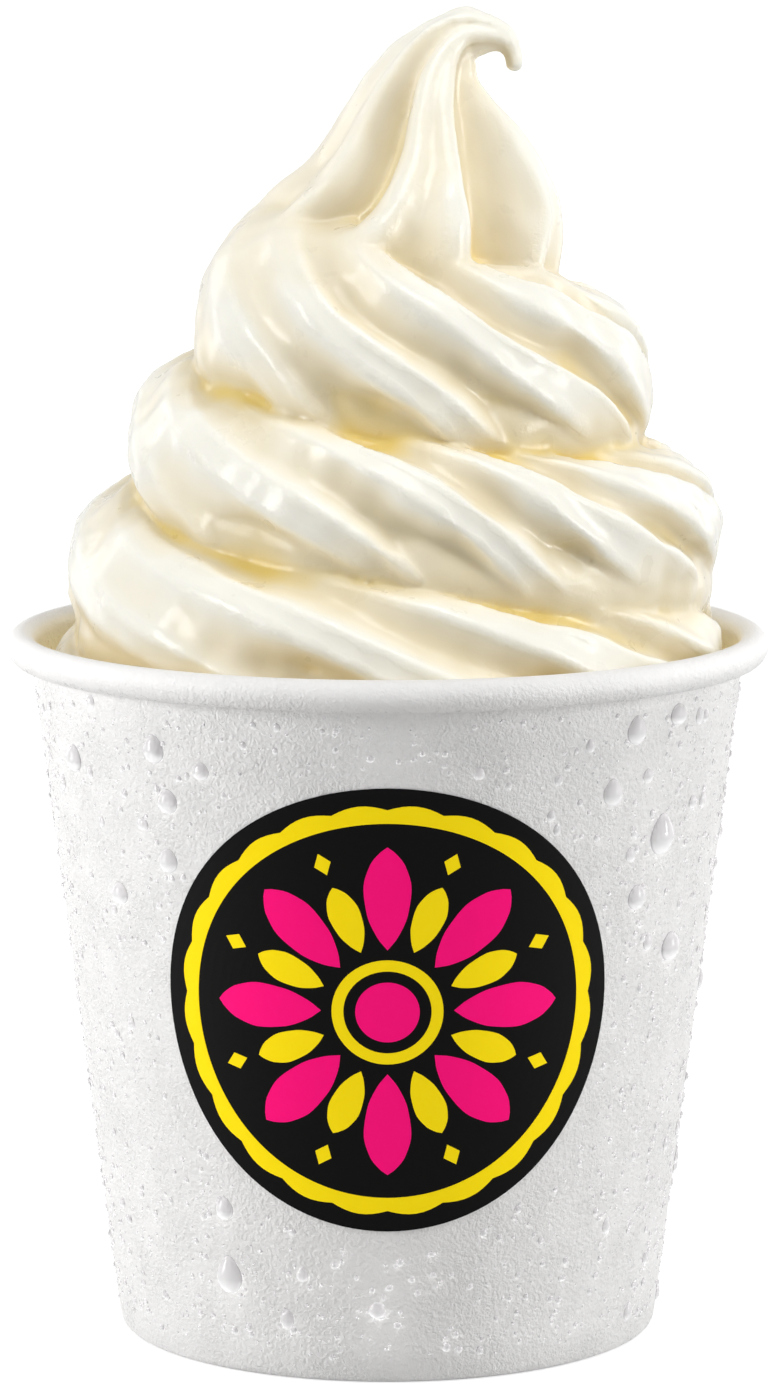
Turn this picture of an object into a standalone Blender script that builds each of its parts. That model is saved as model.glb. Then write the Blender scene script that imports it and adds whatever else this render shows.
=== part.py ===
"""Soft serve in a paper cup.

Four pieces: the paper sidewall with its rolled rim, the recessed paper base, the piped soft serve
and a round label on the front. Metres, +Z up, the origin at the centre of the foot, the label
towards -Y.
"""

import math

import bmesh
import bpy
import numpy as np

MM = 0.001
TURN = 2.0 * math.pi
GAP = 0.3 * MM

# --- driving dimensions: the paper cup ---------------------------------------------------------
FOOT_RADIUS = 31.9 * MM
WALL_SLOPE = 0.1260
PAPER = 0.6 * MM
RIM_RADIUS = 45.0 * MM
ROLL_HEIGHT = 81.75 * MM
ROLL_HALF_WIDTH = 1.70 * MM
ROLL_HALF_HEIGHT = 1.85 * MM
ROLL_FROM = 189.0
ROLL_TO = -135.0
ROLL_POINTS = 13
HEM_HEIGHT = 6.0 * MM
BASE_HEIGHT = 7.0 * MM
SKIRT_FOOT = 1.0 * MM
CUP_SEGMENTS = 72

# --- driving dimensions: the label -------------------------------------------------------------
LABEL_HEIGHT = 44.8 * MM
LABEL_HALF_WIDTH = 27.0 * MM
LABEL_HALF_HEIGHT = 26.4 * MM
LABEL_THICKNESS = 0.25 * MM
LABEL_RINGS = 6
LABEL_SEGMENTS = 40

# --- driving dimensions: the coiled rope of soft serve --------------------------------------------
# The rope climbs clockwise as seen from above. Its place is counted in turns: 0 is the front of
# the top coil, 0.25 the left, 0.5 the back; whole coils lie below it at -1 and -2.
SWIRL_CENTRE = (2.3 * MM, 1.0 * MM)
LEAN_FROM = (-2.35, -1.75)
LEAN = 3.0 * MM
ROPE_START = -3.0
ROPE_END = 0.75
ROPE_RADIUS = 12.0 * MM
COIL_PITCH = 15.7 * MM
COIL_HEIGHT = 118.0 * MM
COIL_RADIUS = 15.0 * MM
COIL_TAPER = 8.2 * MM
COIL_RADIUS_MOST = 28.6 * MM
COIL_TILT = 0.055
# Where the top coil turns in under the peak, in millimetres: turn, distance from the axis,
# height, rope radius.
TOP_COIL = (
    (-0.10, 15.9, 116.3, 12.0),
    (0.02, 15.2, 117.8, 12.4),
    (0.12, 13.8, 119.2, 12.9),
    (0.25, 11.2, 121.2, 13.2),
    (0.50, 7.5, 122.5, 12.8),
    (0.75, 2.0, 122.0, 12.0),
)
RIDGES = 7
# Across one ridge, upward: phase from the edge along its foot, reach. Its flat top stands proud
# of a hollow that drops off steeply above it, and rises gently to the next ridge's edge.
RIDGE_SECTION = (
    (0.00, 1.00),
    (0.03, 1.00),
    (0.15, 0.972),
    (0.27, 0.985),
    (0.305, 1.00),
    (0.34, 0.965),
    (0.40, 0.84),
    (0.50, 0.77),
    (0.62, 0.775),
    (0.78, 0.84),
    (0.95, 0.97),
)
RIDGE_TOP = 0.34
RIDGE_TOP_RIGHT = 0.68
LEFT_RELIEF = 0.32
TOP_LEFT_RELIEF = 0.14
# The ridges wind round the rope: how many have passed its outer side at each turn.
RIDGES_PASSED = (
    (-3.0, -29.0),
    (-2.08, -20.0),
    (-2.03, -19.6),
    (-1.966, -19.12),
    (-1.92, -18.82),
    (-1.808, -18.2),
    (-1.18, -12.0),
    (-1.12, -11.45),
    (-1.083, -10.97),
    (-1.03, -10.2),
    (-0.96, -9.5),
    (-0.907, -9.1),
    (-0.844, -8.62),
    (-0.19, -2.07),
    (-0.132, -1.52),
    (-0.08, -1.11),
    (-0.025, -0.52),
    (0.036, 0.0),
    (0.085, 0.52),
    (0.75, 7.0),
)
# Each coil sags outward over the one below, and presses that one's top flat, most at the front.
SAG = 0.27
SAG_DIRECTION = math.radians(-72)
PRESS = 0.44
PRESS_DIRECTION = math.radians(80)
PRESS_UNTIL = (-0.55, -0.30)
SIDE_SHARE = 0.45

# --- driving dimensions: the peak -----------------------------------------------------------------
# In millimetres along its curved middle line: sideways place, height, radius.
PEAK = (
    (1.5, 110.0, 16.0),
    (0.8, 120.0, 19.8),
    (0.4, 126.0, 20.2),
    (1.8, 130.5, 19.0),
    (3.2, 135.0, 16.9),
    (4.3, 140.0, 12.7),
    (4.6, 145.0, 9.3),
    (5.6, 149.3, 6.4),
    (7.3, 152.1, 4.5),
    (9.4, 153.4, 3.05),
    (11.6, 153.4, 2.25),
    (13.2, 153.0, 1.80),
    (14.2, 152.1, 1.40),
    (14.65, 151.0, 1.12),
    (14.75, 150.1, 1.15),
    (14.75, 149.3, 1.05),
    (14.75, 148.9, 0.65),
)
BEND_HEIGHTS = (140.0 * MM, 152.0 * MM)
# The section through the peak: azimuth from the front, to the right, high up and at the foot,
# then reach high up and at the foot. Its ridges spread as they run down.
PEAK_SECTION = (
    (-176, -176, 0.80, 0.80),
    (-150, -150, 1.00, 1.00),
    (-122, -122, 0.80, 0.80),
    (-94, -94, 1.00, 1.00),
    (-66, -76, 0.90, 0.90),
    (-48, -61, 1.00, 1.00),
    (-40, -53, 0.82, 0.84),
    (-30, -44, 0.66, 0.68),
    (-20, -36, 0.58, 0.58),
    (-14, -30, 0.86, 0.88),
    (-6, -21, 1.00, 1.00),
    (5, 2, 0.92, 0.88),
    (12, 24, 0.99, 0.99),
    (19, 29, 0.96, 0.95),
    (26, 34, 0.66, 0.66),
    (37, 41, 0.58, 0.60),
    (50, 48, 0.64, 0.68),
    (62, 54, 0.82, 0.86),
    (71, 59, 0.98, 1.00),
    (76, 65, 0.97, 0.93),
    (84, 78, 1.00, 1.00),
    (102, 102, 0.80, 0.80),
    (128, 128, 1.00, 1.00),
    (155, 155, 0.80, 0.80),
)
SPREAD_HEIGHTS = (125.0 * MM, 137.0 * MM)

# --- driving dimensions: the solid ----------------------------------------------------------------
FILL_FOOT = BASE_HEIGHT + PAPER + GAP
FILL_TOP = 75.0 * MM
# A plain rope lies in the gap below each coil, so that the crease between two coils is shallow.
FILLER_RADIUS = 7.4 * MM
FILLER_OUT = 3.6 * MM
VOXEL = 1.0 * MM
ROPE_ROWS = 900
PEAK_ROWS = 200
AROUND = 96
SOFT_SERVE_TRIANGLES = 5200


def smooth_table(x, xs, ys):
    """A curve through the table's points, with no bumps between them."""
    slope = np.diff(ys) / np.diff(xs)
    tangent = np.zeros(len(xs))
    same = slope[1:] * slope[:-1] > 0
    tangent[1:-1][same] = 2 * slope[1:][same] * slope[:-1][same] / (slope[1:] + slope[:-1])[same]
    tangent[0] = slope[0]
    tangent[-1] = slope[-1]
    i = np.clip(np.searchsorted(xs, x) - 1, 0, len(xs) - 2)
    step = xs[i + 1] - xs[i]
    t = (x - xs[i]) / step
    start = (2 * t**3 - 3 * t**2 + 1) * ys[i] + (t**3 - 2 * t**2 + t) * step * tangent[i]
    end = (3 * t**2 - 2 * t**3) * ys[i + 1] + (t**3 - t**2) * step * tangent[i + 1]
    return start + end


def round_table(x, xs, ys, period):
    """The same for a curve that repeats."""
    shifts = (-period, 0.0, period)
    return smooth_table(x, np.concatenate([xs + shift for shift in shifts]), np.tile(ys, 3))


def blur(values, half):
    """Each row as the bell-shaped average of its neighbours."""
    kernel = np.hanning(2 * half + 3)[1:-1]
    kernel /= kernel.sum()
    padded = np.concatenate([values[:1].repeat(half, 0), values, values[-1:].repeat(half, 0)])
    columns = [np.convolve(padded[:, c], kernel, "valid") for c in range(values.shape[1])]
    return np.stack(columns, axis=1)


def unit(vectors):
    return vectors / np.linalg.norm(vectors, axis=-1, keepdims=True)


def smoothstep(x, low, high):
    t = np.clip((x - low) / (high - low), 0, 1)
    return t * t * (3 - 2 * t)


def swept(centre, along, outward, reach, angle):
    """Points round a middle line, row by row: outward at angle 0, upward at a quarter turn."""
    outward = unit(outward - along * (outward * along).sum(1, keepdims=True))
    upward = np.cross(along, outward)
    across = (
        np.cos(angle)[None, :, None] * outward[:, None, :]
        + np.sin(angle)[None, :, None] * upward[:, None, :]
    )
    return centre[:, None, :] + reach[..., None] * across


def rope_path(count):
    """Turn, centre points and radius along the rope."""
    turn = np.linspace(ROPE_START, ROPE_END, count)
    spread = np.minimum(COIL_RADIUS - COIL_TAPER * turn, COIL_RADIUS_MOST)
    height = COIL_HEIGHT + COIL_PITCH * turn
    radius = np.full(count, ROPE_RADIUS)
    top = np.array(TOP_COIL)
    top[:, 1:] *= MM
    above = turn > top[0, 0]
    spread[above], height[above], radius[above] = (
        smooth_table(turn[above], top[:, 0], top[:, column]) for column in (1, 2, 3)
    )
    lean = LEAN * (1 - smoothstep(turn, *LEAN_FROM))
    x = SWIRL_CENTRE[0] - lean - spread * np.sin(TURN * turn)
    y = SWIRL_CENTRE[1] - spread * np.cos(TURN * turn)
    centre = np.stack([x, y, height - COIL_TILT * x], axis=1)
    half = count // 100
    return turn, blur(centre, half), blur(radius[:, None], half)[:, 0]


def rope_wave(turn, angle):
    """Phase of the ridges over the rope's surface: a whole number along each one's lower edge."""
    passed = smooth_table(turn, *np.transpose(RIDGES_PASSED))
    return RIDGES * angle[None, :] / TURN - passed[:, None]


def rope_ridges(turn, angle):
    """The ridges' reach over the rope's surface: wide tops on the right, shallow on the left."""
    phase = rope_wave(turn, angle) % 1.0
    side = -np.sin(TURN * turn)[:, None]
    top = RIDGE_TOP + (RIDGE_TOP_RIGHT - RIDGE_TOP) * np.clip(side, 0, 1) ** 2
    above = RIDGE_TOP + (phase - top) * (1 - RIDGE_TOP) / (1 - top)
    phase = np.where(phase < top, phase * RIDGE_TOP / top, above)
    section = round_table(phase, *np.transpose(RIDGE_SECTION), 1.0)
    left = LEFT_RELIEF + (TOP_LEFT_RELIEF - LEFT_RELIEF) * smoothstep(turn, -0.4, 0.0)
    relief = 1 - (1 - left[:, None]) * smoothstep(-side, 0.0, 1.0)
    return 1 - relief * (1 - section)


def rope_weight(turn, angle):
    """How the rope's own weight changes its reach: down over the coil below, flat on its top."""
    share = SIDE_SHARE + (1 - SIDE_SHARE) * np.clip(np.cos(TURN * turn), 0, 1)
    pressed = share * (1 - smoothstep(turn, *PRESS_UNTIL))
    below = np.clip(np.cos(angle - SAG_DIRECTION), 0, 1) ** 2
    above = np.clip(np.cos(angle - PRESS_DIRECTION), 0, 1) ** 2
    return 1 + SAG * np.outer(share, below) - PRESS * np.outer(pressed, above)


def rope_grid(count, around):
    """Points of the ridged rope, row by row along it."""
    turn, centre, radius = rope_path(count)
    angle = np.linspace(0, TURN, around, endpoint=False)
    outward = np.stack([-np.sin(TURN * turn), -np.cos(TURN * turn), 0 * turn], axis=1)
    reach = radius[:, None] * rope_ridges(turn, angle) * rope_weight(turn, angle)
    return swept(centre, unit(np.gradient(centre, axis=0)), outward, reach, angle)


def peak_path(count):
    """Centre points and radius along the peak, evenly spaced along its middle line."""
    stations = np.array(PEAK) * MM
    step = np.linalg.norm(np.diff(stations[:, :2], axis=0), axis=1)
    length = np.concatenate([[0], np.cumsum(step)])
    along = np.linspace(0, length[-1], count)
    x, height, radius = (smooth_table(along, length, stations[:, c]) for c in range(3))
    centre = np.stack([x, np.full(count, SWIRL_CENTRE[1]), height], axis=1)
    return blur(centre, count // 50), radius


def peak_section(centre, angle):
    """The peak's reach round its middle line, as a share of its radius."""
    high, foot, high_reach, foot_reach = np.transpose(PEAK_SECTION).astype(float)
    rows = []
    for share in smoothstep(centre[:, 2], *SPREAD_HEIGHTS):
        azimuth = np.radians(share * high + (1 - share) * foot)
        reach = share * high_reach + (1 - share) * foot_reach
        rows.append(round_table(angle, azimuth, reach, TURN))
    return np.array(rows)


def peak_grid(count, around):
    """Points of the ridged peak; angle 0 faces the front, a quarter turn the right."""
    centre, radius = peak_path(count)
    angle = np.linspace(-math.pi, math.pi, around, endpoint=False)
    outward = np.tile([0.0, -1.0, 0.0], (count, 1))
    reach = radius[:, None] * peak_section(centre, angle)
    bend = smoothstep(centre[:, 2], *BEND_HEIGHTS)[:, None]
    along = unit(np.gradient(centre, axis=0))
    along = unit(bend * along + (1 - bend) * np.array([0.0, 0.0, 1.0]))
    return swept(centre, along, outward, reach, angle)


def filler_grid(count, around):
    """Points of the plain rope, half a pitch below the ridged one."""
    turn, centre, _ = rope_path(count)
    angle = np.linspace(0, TURN, around, endpoint=False)
    outward = np.stack([-np.sin(TURN * turn), -np.cos(TURN * turn), 0 * turn], axis=1)
    centre = centre + FILLER_OUT * outward - [0, 0, COIL_PITCH / 2]
    reach = np.full((count, around), FILLER_RADIUS)
    return swept(centre, unit(np.gradient(centre, axis=0)), outward, reach, angle)


def bulk_cones():
    """What fills the swirl: the core inside the coils and the bulk in the cup, as cones.

    Each is a radius and a height at the foot, then at the top.
    """
    core = (27.0 * MM, 70.0 * MM, 9.0 * MM, 124.0 * MM)
    bulk = (inner_radius(FILL_FOOT), FILL_FOOT - MM, inner_radius(FILL_TOP), FILL_TOP)
    return core, bulk


def inner_radius(height):
    """How far the soft serve may reach inside the cup at a height."""
    return FOOT_RADIUS + WALL_SLOPE * height - PAPER - GAP


# --- build ---


def new_object(name, mesh, material=None):
    obj = bpy.data.objects.new(name, mesh)
    if material:
        mesh.materials.clear()
        mesh.materials.append(material)
    return obj


def make_material(name, colour, roughness):
    material = bpy.data.materials.new(name)
    material.use_nodes = True
    shader = material.node_tree.nodes["Principled BSDF"]
    shader.inputs["Base Color"].default_value = (*colour, 1.0)
    shader.inputs["Roughness"].default_value = roughness
    shader.inputs["Metallic"].default_value = 0.0
    return material


def turned(name, profile, segments, closed=True):
    """A profile of (radius, height) points, down its outer side, turned round the Z axis."""
    count = len(profile)
    edges = [(i, (i + 1) % count) for i in range(count if closed else count - 1)]
    mesh = bpy.data.meshes.new(name)
    mesh.from_pydata([(r, 0.0, z) for r, z in profile], edges, [])
    obj = bpy.data.objects.new(name, mesh)
    screw = obj.modifiers.new("turn", "SCREW")
    screw.steps = segments
    screw.render_steps = segments
    screw.use_merge_vertices = True
    screw.merge_threshold = 0.00001
    screw.use_smooth_shade = True
    return obj


def applied(obj):
    """The object's mesh with its modifiers applied; the object itself is removed."""
    bpy.context.scene.collection.objects.link(obj)
    bpy.context.view_layer.update()
    evaluated = obj.evaluated_get(bpy.context.evaluated_depsgraph_get())
    mesh = bpy.data.meshes.new_from_object(evaluated)
    bpy.data.objects.remove(obj)
    return mesh


def lofted(grid):
    """A closed tube through the rows of a grid of points, with flat ends."""
    rows, around = grid.shape[:2]
    start = np.arange(rows - 1)[:, None] * around
    here = np.arange(around)[None, :]
    beside = (here + 1) % around
    corners = (start + here, start + beside, start + around + beside, start + around + here)
    faces = np.stack(corners, axis=-1).reshape(-1, 4).tolist()
    faces.append(list(range(around))[::-1])
    faces.append(list(range((rows - 1) * around, rows * around)))
    mesh = bpy.data.meshes.new("loft")
    mesh.from_pydata(grid.reshape(-1, 3).tolist(), [], faces)
    return mesh


def cone(foot_radius, foot_height, top_radius, top_height):
    shape = bmesh.new()
    depth = top_height - foot_height
    bmesh.ops.create_cone(
        shape,
        cap_ends=True,
        segments=CUP_SEGMENTS,
        radius1=foot_radius,
        radius2=top_radius,
        depth=depth,
    )
    bmesh.ops.translate(shape, verts=shape.verts, vec=(0, 0, foot_height + depth / 2))
    mesh = bpy.data.meshes.new("cone")
    shape.to_mesh(mesh)
    shape.free()
    return mesh


def joined(name, meshes):
    shape = bmesh.new()
    for mesh in meshes:
        shape.from_mesh(mesh)
        bpy.data.meshes.remove(mesh)
    bmesh.ops.recalc_face_normals(shape, faces=shape.faces)
    mesh = bpy.data.meshes.new(name)
    shape.to_mesh(mesh)
    shape.free()
    return mesh


def make_sidewall():
    """The paper wall with its rolled rim and the hem folded up inside the foot."""
    centre = RIM_RADIUS - ROLL_HALF_WIDTH
    roll = []
    for degrees in np.linspace(ROLL_FROM, ROLL_TO, ROLL_POINTS):
        angle = math.radians(degrees)
        roll.append(
            (
                centre + ROLL_HALF_WIDTH * math.cos(angle),
                ROLL_HEIGHT + ROLL_HALF_HEIGHT * math.sin(angle),
            )
        )
    hem_outside = inner_radius(PAPER) - PAPER - GAP
    lean = WALL_SLOPE * (HEM_HEIGHT - PAPER)
    foot = [
        (FOOT_RADIUS, 0.0),
        (hem_outside - PAPER, 0.0),
        (hem_outside - PAPER + lean, HEM_HEIGHT),
        (hem_outside + lean, HEM_HEIGHT),
        (hem_outside, PAPER),
        (inner_radius(PAPER) + GAP, PAPER),
    ]
    return turned("cup_sidewall", roll + foot, CUP_SEGMENTS)


def make_base():
    """The recessed base disc; its skirt turns down between the wall and the hem."""
    top = BASE_HEIGHT + PAPER
    lean = WALL_SLOPE * (BASE_HEIGHT - SKIRT_FOOT)
    profile = [
        (0.0, top),
        (inner_radius(top), top),
        (inner_radius(SKIRT_FOOT), SKIRT_FOOT),
        (inner_radius(SKIRT_FOOT) - PAPER, SKIRT_FOOT),
        (inner_radius(SKIRT_FOOT) - PAPER + lean, BASE_HEIGHT),
        (0.0, BASE_HEIGHT),
    ]
    return turned("cup_base", profile, CUP_SEGMENTS, closed=False)


def make_soft_serve():
    """The rope, the peak and the bulk in the cup, fused into one solid and thinned out."""
    grids = (rope_grid(ROPE_ROWS, AROUND), filler_grid(ROPE_ROWS, AROUND), peak_grid(PEAK_ROWS, AROUND))
    parts = [lofted(grid) for grid in grids]
    parts += [cone(*sizes) for sizes in bulk_cones()]
    body = new_object("fused", joined("fused", parts))
    fuse = body.modifiers.new("fuse", "REMESH")
    fuse.mode = "VOXEL"
    fuse.voxel_size = VOXEL
    mesh = applied(body)

    points = np.empty(len(mesh.vertices) * 3)
    mesh.vertices.foreach_get("co", points)
    points = points.reshape(-1, 3)
    points[:, 2] = np.maximum(points[:, 2], FILL_FOOT)
    reach = np.hypot(points[:, 0], points[:, 1])
    held = (points[:, 2] < ROLL_HEIGHT + ROLL_HALF_HEIGHT) & (reach > inner_radius(points[:, 2]))
    points[held, :2] *= (inner_radius(points[held, 2]) / reach[held])[:, None]
    mesh.vertices.foreach_set("co", points.ravel())
    mesh.shade_smooth()

    soft_serve = new_object("soft_serve", mesh)
    thin = soft_serve.modifiers.new("thin", "DECIMATE")
    thin.ratio = SOFT_SERVE_TRIANGLES / sum(len(face.vertices) - 2 for face in mesh.polygons)
    return soft_serve


def make_label():
    """A round paper label: a turned disc laid on the cone of the wall, as if unrolled from it."""
    spokes = [(i / LABEL_RINGS, 0.0) for i in range(LABEL_RINGS, -1, -1)]
    mesh = applied(turned("label", spokes, LABEL_SEGMENTS, closed=False))
    tilt = math.atan(WALL_SLOPE)
    offset = GAP + LABEL_THICKNESS
    radius = FOOT_RADIUS + WALL_SLOPE * LABEL_HEIGHT + offset / math.cos(tilt)
    from_apex = radius / math.sin(tilt)
    for vertex in mesh.vertices:
        across = vertex.co.x * LABEL_HALF_WIDTH
        up = vertex.co.y * LABEL_HALF_HEIGHT
        slant = math.hypot(from_apex + up, across)
        azimuth = math.atan2(across, from_apex + up) / math.sin(tilt)
        reach = slant * math.sin(tilt)
        height = LABEL_HEIGHT + (slant - from_apex) * math.cos(tilt)
        vertex.co = (reach * math.sin(azimuth), -reach * math.cos(azimuth), height)
    label = new_object("label", joined("label", [mesh]))
    sheet = label.modifiers.new("sheet", "SOLIDIFY")
    sheet.thickness = LABEL_THICKNESS
    sheet.offset = -1.0
    return label


def clear_scene():
    for obj in list(bpy.data.objects):
        bpy.data.objects.remove(obj)


def main():
    clear_scene()
    paper = make_material("white_cup_paper", (0.86, 0.85, 0.85), 0.5)
    board = make_material("cup_base_board", (0.84, 0.83, 0.82), 0.55)
    cream = make_material("vanilla_soft_serve", (0.92, 0.85, 0.68), 0.35)
    print_black = make_material("black_label_paper", (0.01, 0.01, 0.01), 0.45)
    cup = bpy.data.collections.new("soft_serve_cup")
    bpy.context.scene.collection.children.link(cup)
    pieces = (
        (make_sidewall(), paper),
        (make_base(), board),
        (make_soft_serve(), cream),
        (make_label(), print_black),
    )
    for piece, material in pieces:
        piece.data.materials.clear()
        piece.data.materials.append(material)
        cup.objects.link(piece)


if __name__ == "__main__":
    main()
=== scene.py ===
# %% [markdown]
# # Soft serve in a cold paper cup
#
# A real one is quick to make: a machine squeezes ridged soft serve into a paper cup, round and
# round and inward, and a last flick pulls it up into a curl. Here the same thing is built from a
# few named sizes. The plain solid model comes in first and stays as it is; every piece made below
# takes its place from that model, so that nothing has to be fitted by eye.

import math

import bmesh
import bpy
import numpy as np
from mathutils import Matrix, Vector


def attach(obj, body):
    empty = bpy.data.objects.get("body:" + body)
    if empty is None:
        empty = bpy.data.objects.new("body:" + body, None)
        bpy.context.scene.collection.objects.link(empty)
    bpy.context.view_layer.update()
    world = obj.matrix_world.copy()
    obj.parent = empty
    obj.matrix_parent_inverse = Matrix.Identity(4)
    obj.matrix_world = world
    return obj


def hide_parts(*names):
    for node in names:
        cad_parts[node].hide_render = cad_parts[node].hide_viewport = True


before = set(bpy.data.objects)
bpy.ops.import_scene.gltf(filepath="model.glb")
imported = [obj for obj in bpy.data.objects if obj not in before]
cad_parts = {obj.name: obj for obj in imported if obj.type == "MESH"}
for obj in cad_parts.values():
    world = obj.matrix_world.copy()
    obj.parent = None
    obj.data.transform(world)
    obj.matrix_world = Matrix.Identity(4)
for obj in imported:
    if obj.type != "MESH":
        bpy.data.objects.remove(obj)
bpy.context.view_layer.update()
MM = 0.001
TURN = 2.0 * math.pi

# %% [markdown]
# ## The camera
#
# Food is usually taken with a long lens from a little above the rim, which keeps the cup's sides
# nearly straight and lets the eye just look down onto the swirl. The camera stands 0.7 m away and
# tips down by a few degrees. It comes first, because everything after it is judged through it.

# %% Camera
CAMERA_PLACE = (0.0, -703.3 * MM, 180.7 * MM)
CAMERA_PITCH = math.radians(8.52)
LENS_MM = 155.1
SENSOR_MM = 36.0
RIM_HEIGHT = 83.6 * MM

camera = bpy.data.objects.new("camera", bpy.data.cameras.new("camera"))
camera.data.sensor_width = SENSOR_MM
camera.data.lens = LENS_MM
camera.location = CAMERA_PLACE
camera.rotation_euler = (math.pi / 2 - CAMERA_PITCH, 0.0, 0.0)
bpy.context.scene.collection.objects.link(camera)
bpy.context.scene.camera = camera
print("camera height above the rim in mm:", round((CAMERA_PLACE[2] - RIM_HEIGHT) / MM))

# %% [markdown]
# ## Two small tools for materials
#
# Colours are picked on a screen, so they are written as sRGB hex values; light adds up in linear
# values, so one function turns the first into the second. A material in Blender is a set of nodes
# joined by links. One function adds a node with its settings and its inputs, where an input is
# either a plain value or the output of another node.


# %% Colour and node helpers
def linear(hex_colour):
    """An sRGB colour such as "F4EFE2" as linear red, green, blue and alpha."""
    values = [int(hex_colour[i : i + 2], 16) / 255 for i in (0, 2, 4)]
    curve = [v / 12.92 if v <= 0.04045 else ((v + 0.055) / 1.055) ** 2.4 for v in values]
    return (*curve, 1.0)


def add(tree, kind, inputs=None, **settings):
    """Adds a shader node; inputs are values or other nodes' outputs, by socket name or number."""
    node = tree.nodes.new("ShaderNode" + kind)
    for name, value in settings.items():
        setattr(node, name, value)
    for socket, value in (inputs or {}).items():
        if isinstance(value, bpy.types.NodeSocket):
            tree.links.new(value, node.inputs[socket])
        else:
            node.inputs[socket].default_value = value
    return node


def new_material(name, **values):
    """A material, its node tree and its Principled shader with the plain values set."""
    material = bpy.data.materials.new(name)
    material.use_nodes = True
    shader = material.node_tree.nodes["Principled BSDF"]
    for socket, value in values.items():
        shader.inputs[socket.replace("_", " ")].default_value = value
    return material, material.node_tree, shader


# A colour Mix node's sockets by number: its inputs, then its output.
FACTOR, FIRST, SECOND = 0, 6, 7
MIXED = 2
print("white as linear light:", linear("FFFFFF"))

# %% [markdown]
# ## The table and the room
#
# White food in a white cup has to stand out against a white room. The camera sees the table and
# the room as white, but both send only little light back to the cup, as in a studio where the
# floor beyond the set is covered with dark cloth. Shiny skins mirror a brighter room than the one
# that lights them, so that their outlines don't go dark.

# %% Table and room
TABLE_RADIUS = 9.0
TABLE_EDGES = 96
TABLE_GREY = "B8B8B8"
# How bright the table looks near the cup and far away, and between which distances it changes.
NEAR_GLOW = 0.70
FAR_GLOW = 1.0
GLOW_FROM = (0.20, 1.2)
# How much the table and the room really light the cup, how bright the room looks, and the share
# of that brightness which a shiny skin mirrors.
TABLE_LIGHT = 0.05
ROOM_LIGHT = 0.20
ROOM_SEEN = 1.0
MIRRORED = 0.70


def ray_seen(tree):
    """1 for what the camera sees, MIRRORED for what a shiny surface mirrors, 0 for plain light."""
    path = add(tree, "LightPath").outputs
    steps = {0: path["Is Glossy Ray"], 1: MIRRORED, 2: path["Is Camera Ray"]}
    return add(tree, "Math", steps, operation="MULTIPLY_ADD").outputs[0]


table_white, tree, shader = new_material("matt_white_table", Roughness=0.7)
shader.inputs["Base Color"].default_value = linear(TABLE_GREY)
shader.inputs["Emission Color"].default_value = linear("FFFFFF")
place = add(tree, "TexCoord").outputs["Object"]
away = add(tree, "VectorMath", {0: place}, operation="LENGTH").outputs["Value"]
levels = {"Value": away, "From Min": GLOW_FROM[0], "From Max": GLOW_FROM[1]}
levels.update({"To Min": NEAR_GLOW, "To Max": FAR_GLOW})
looks = add(tree, "MapRange", levels, interpolation_type="SMOOTHSTEP").outputs["Result"]
levels = {"Value": ray_seen(tree), "To Min": TABLE_LIGHT, "To Max": looks}
glow = add(tree, "MapRange", levels).outputs["Result"]
tree.links.new(glow, shader.inputs["Emission Strength"])

shape = bmesh.new()
bmesh.ops.create_circle(shape, cap_ends=True, segments=TABLE_EDGES, radius=TABLE_RADIUS)
mesh = bpy.data.meshes.new("table")
shape.to_mesh(mesh)
shape.free()
mesh.materials.append(table_white)
table = bpy.data.objects.new("table", mesh)
bpy.context.scene.collection.objects.link(table)

room = bpy.data.worlds.new("white_room")
room.use_nodes = True
bpy.context.scene.world = room
levels = {"Value": ray_seen(room.node_tree), "To Min": ROOM_LIGHT, "To Max": ROOM_SEEN}
strength = add(room.node_tree, "MapRange", levels)
background = room.node_tree.nodes["Background"]
background.inputs["Color"].default_value = linear("FFFFFF")
room.node_tree.links.new(strength.outputs["Result"], background.inputs["Strength"])
bpy.context.scene.view_settings.view_transform = "Standard"
print("table radius in metres:", TABLE_RADIUS)

# %% [markdown]
# ## The lights
#
# Light from the sides shows white forms best. Two tall lights beside the cup make its sides bright
# and leave its front a soft grey. Two more a little higher do the same for the swirl, and black
# cards keep each pair off the other's part. A wide light high in front falls on the swirl and
# mostly misses the cup, whose sides lean under it. Two weak ones behind draw bright edges.

# %% Lights
AIM = Vector((0.0, 0.0, 0.09))
# Name, place, width and height in metres, power in watts, then what black cards let it fall on.
LIGHTS = (
    ("left_softbox", (-0.62, -0.17, 0.16), (0.13, 0.40), 3.4, "cup"),
    ("right_softbox", (0.62, -0.17, 0.16), (0.13, 0.40), 2.45, "cup"),
    ("high_front_softbox", (0.12, -0.22, 0.72), (0.46, 0.26), 2.1, "all"),
    ("left_upper_softbox", (-0.57, -0.24, 0.30), (0.16, 0.40), 2.15, "food"),
    ("right_upper_softbox", (0.57, -0.24, 0.30), (0.16, 0.40), 1.9, "food"),
    ("left_rim_light", (-0.46, 0.44, 0.24), (0.20, 0.50), 0.45, "all"),
    ("right_rim_light", (0.46, 0.44, 0.24), (0.20, 0.50), 0.45, "all"),
)
lit = {name: bpy.data.collections.new("lit_" + name) for name in ("cup", "food")}
for name, place, size, power, falls_on in LIGHTS:
    data = bpy.data.lights.new(name, "AREA")
    data.shape = "RECTANGLE"
    data.size, data.size_y = size
    data.energy = power
    light = bpy.data.objects.new(name, data)
    light.location = place
    light.rotation_euler = (AIM - light.location).to_track_quat("-Z", "Y").to_euler()
    light.visible_transmission = False
    if falls_on in lit:
        light.light_linking.receiver_collection = lit[falls_on]
    bpy.context.scene.collection.objects.link(light)
print("lights:", [name for name, *_ in LIGHTS])

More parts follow.
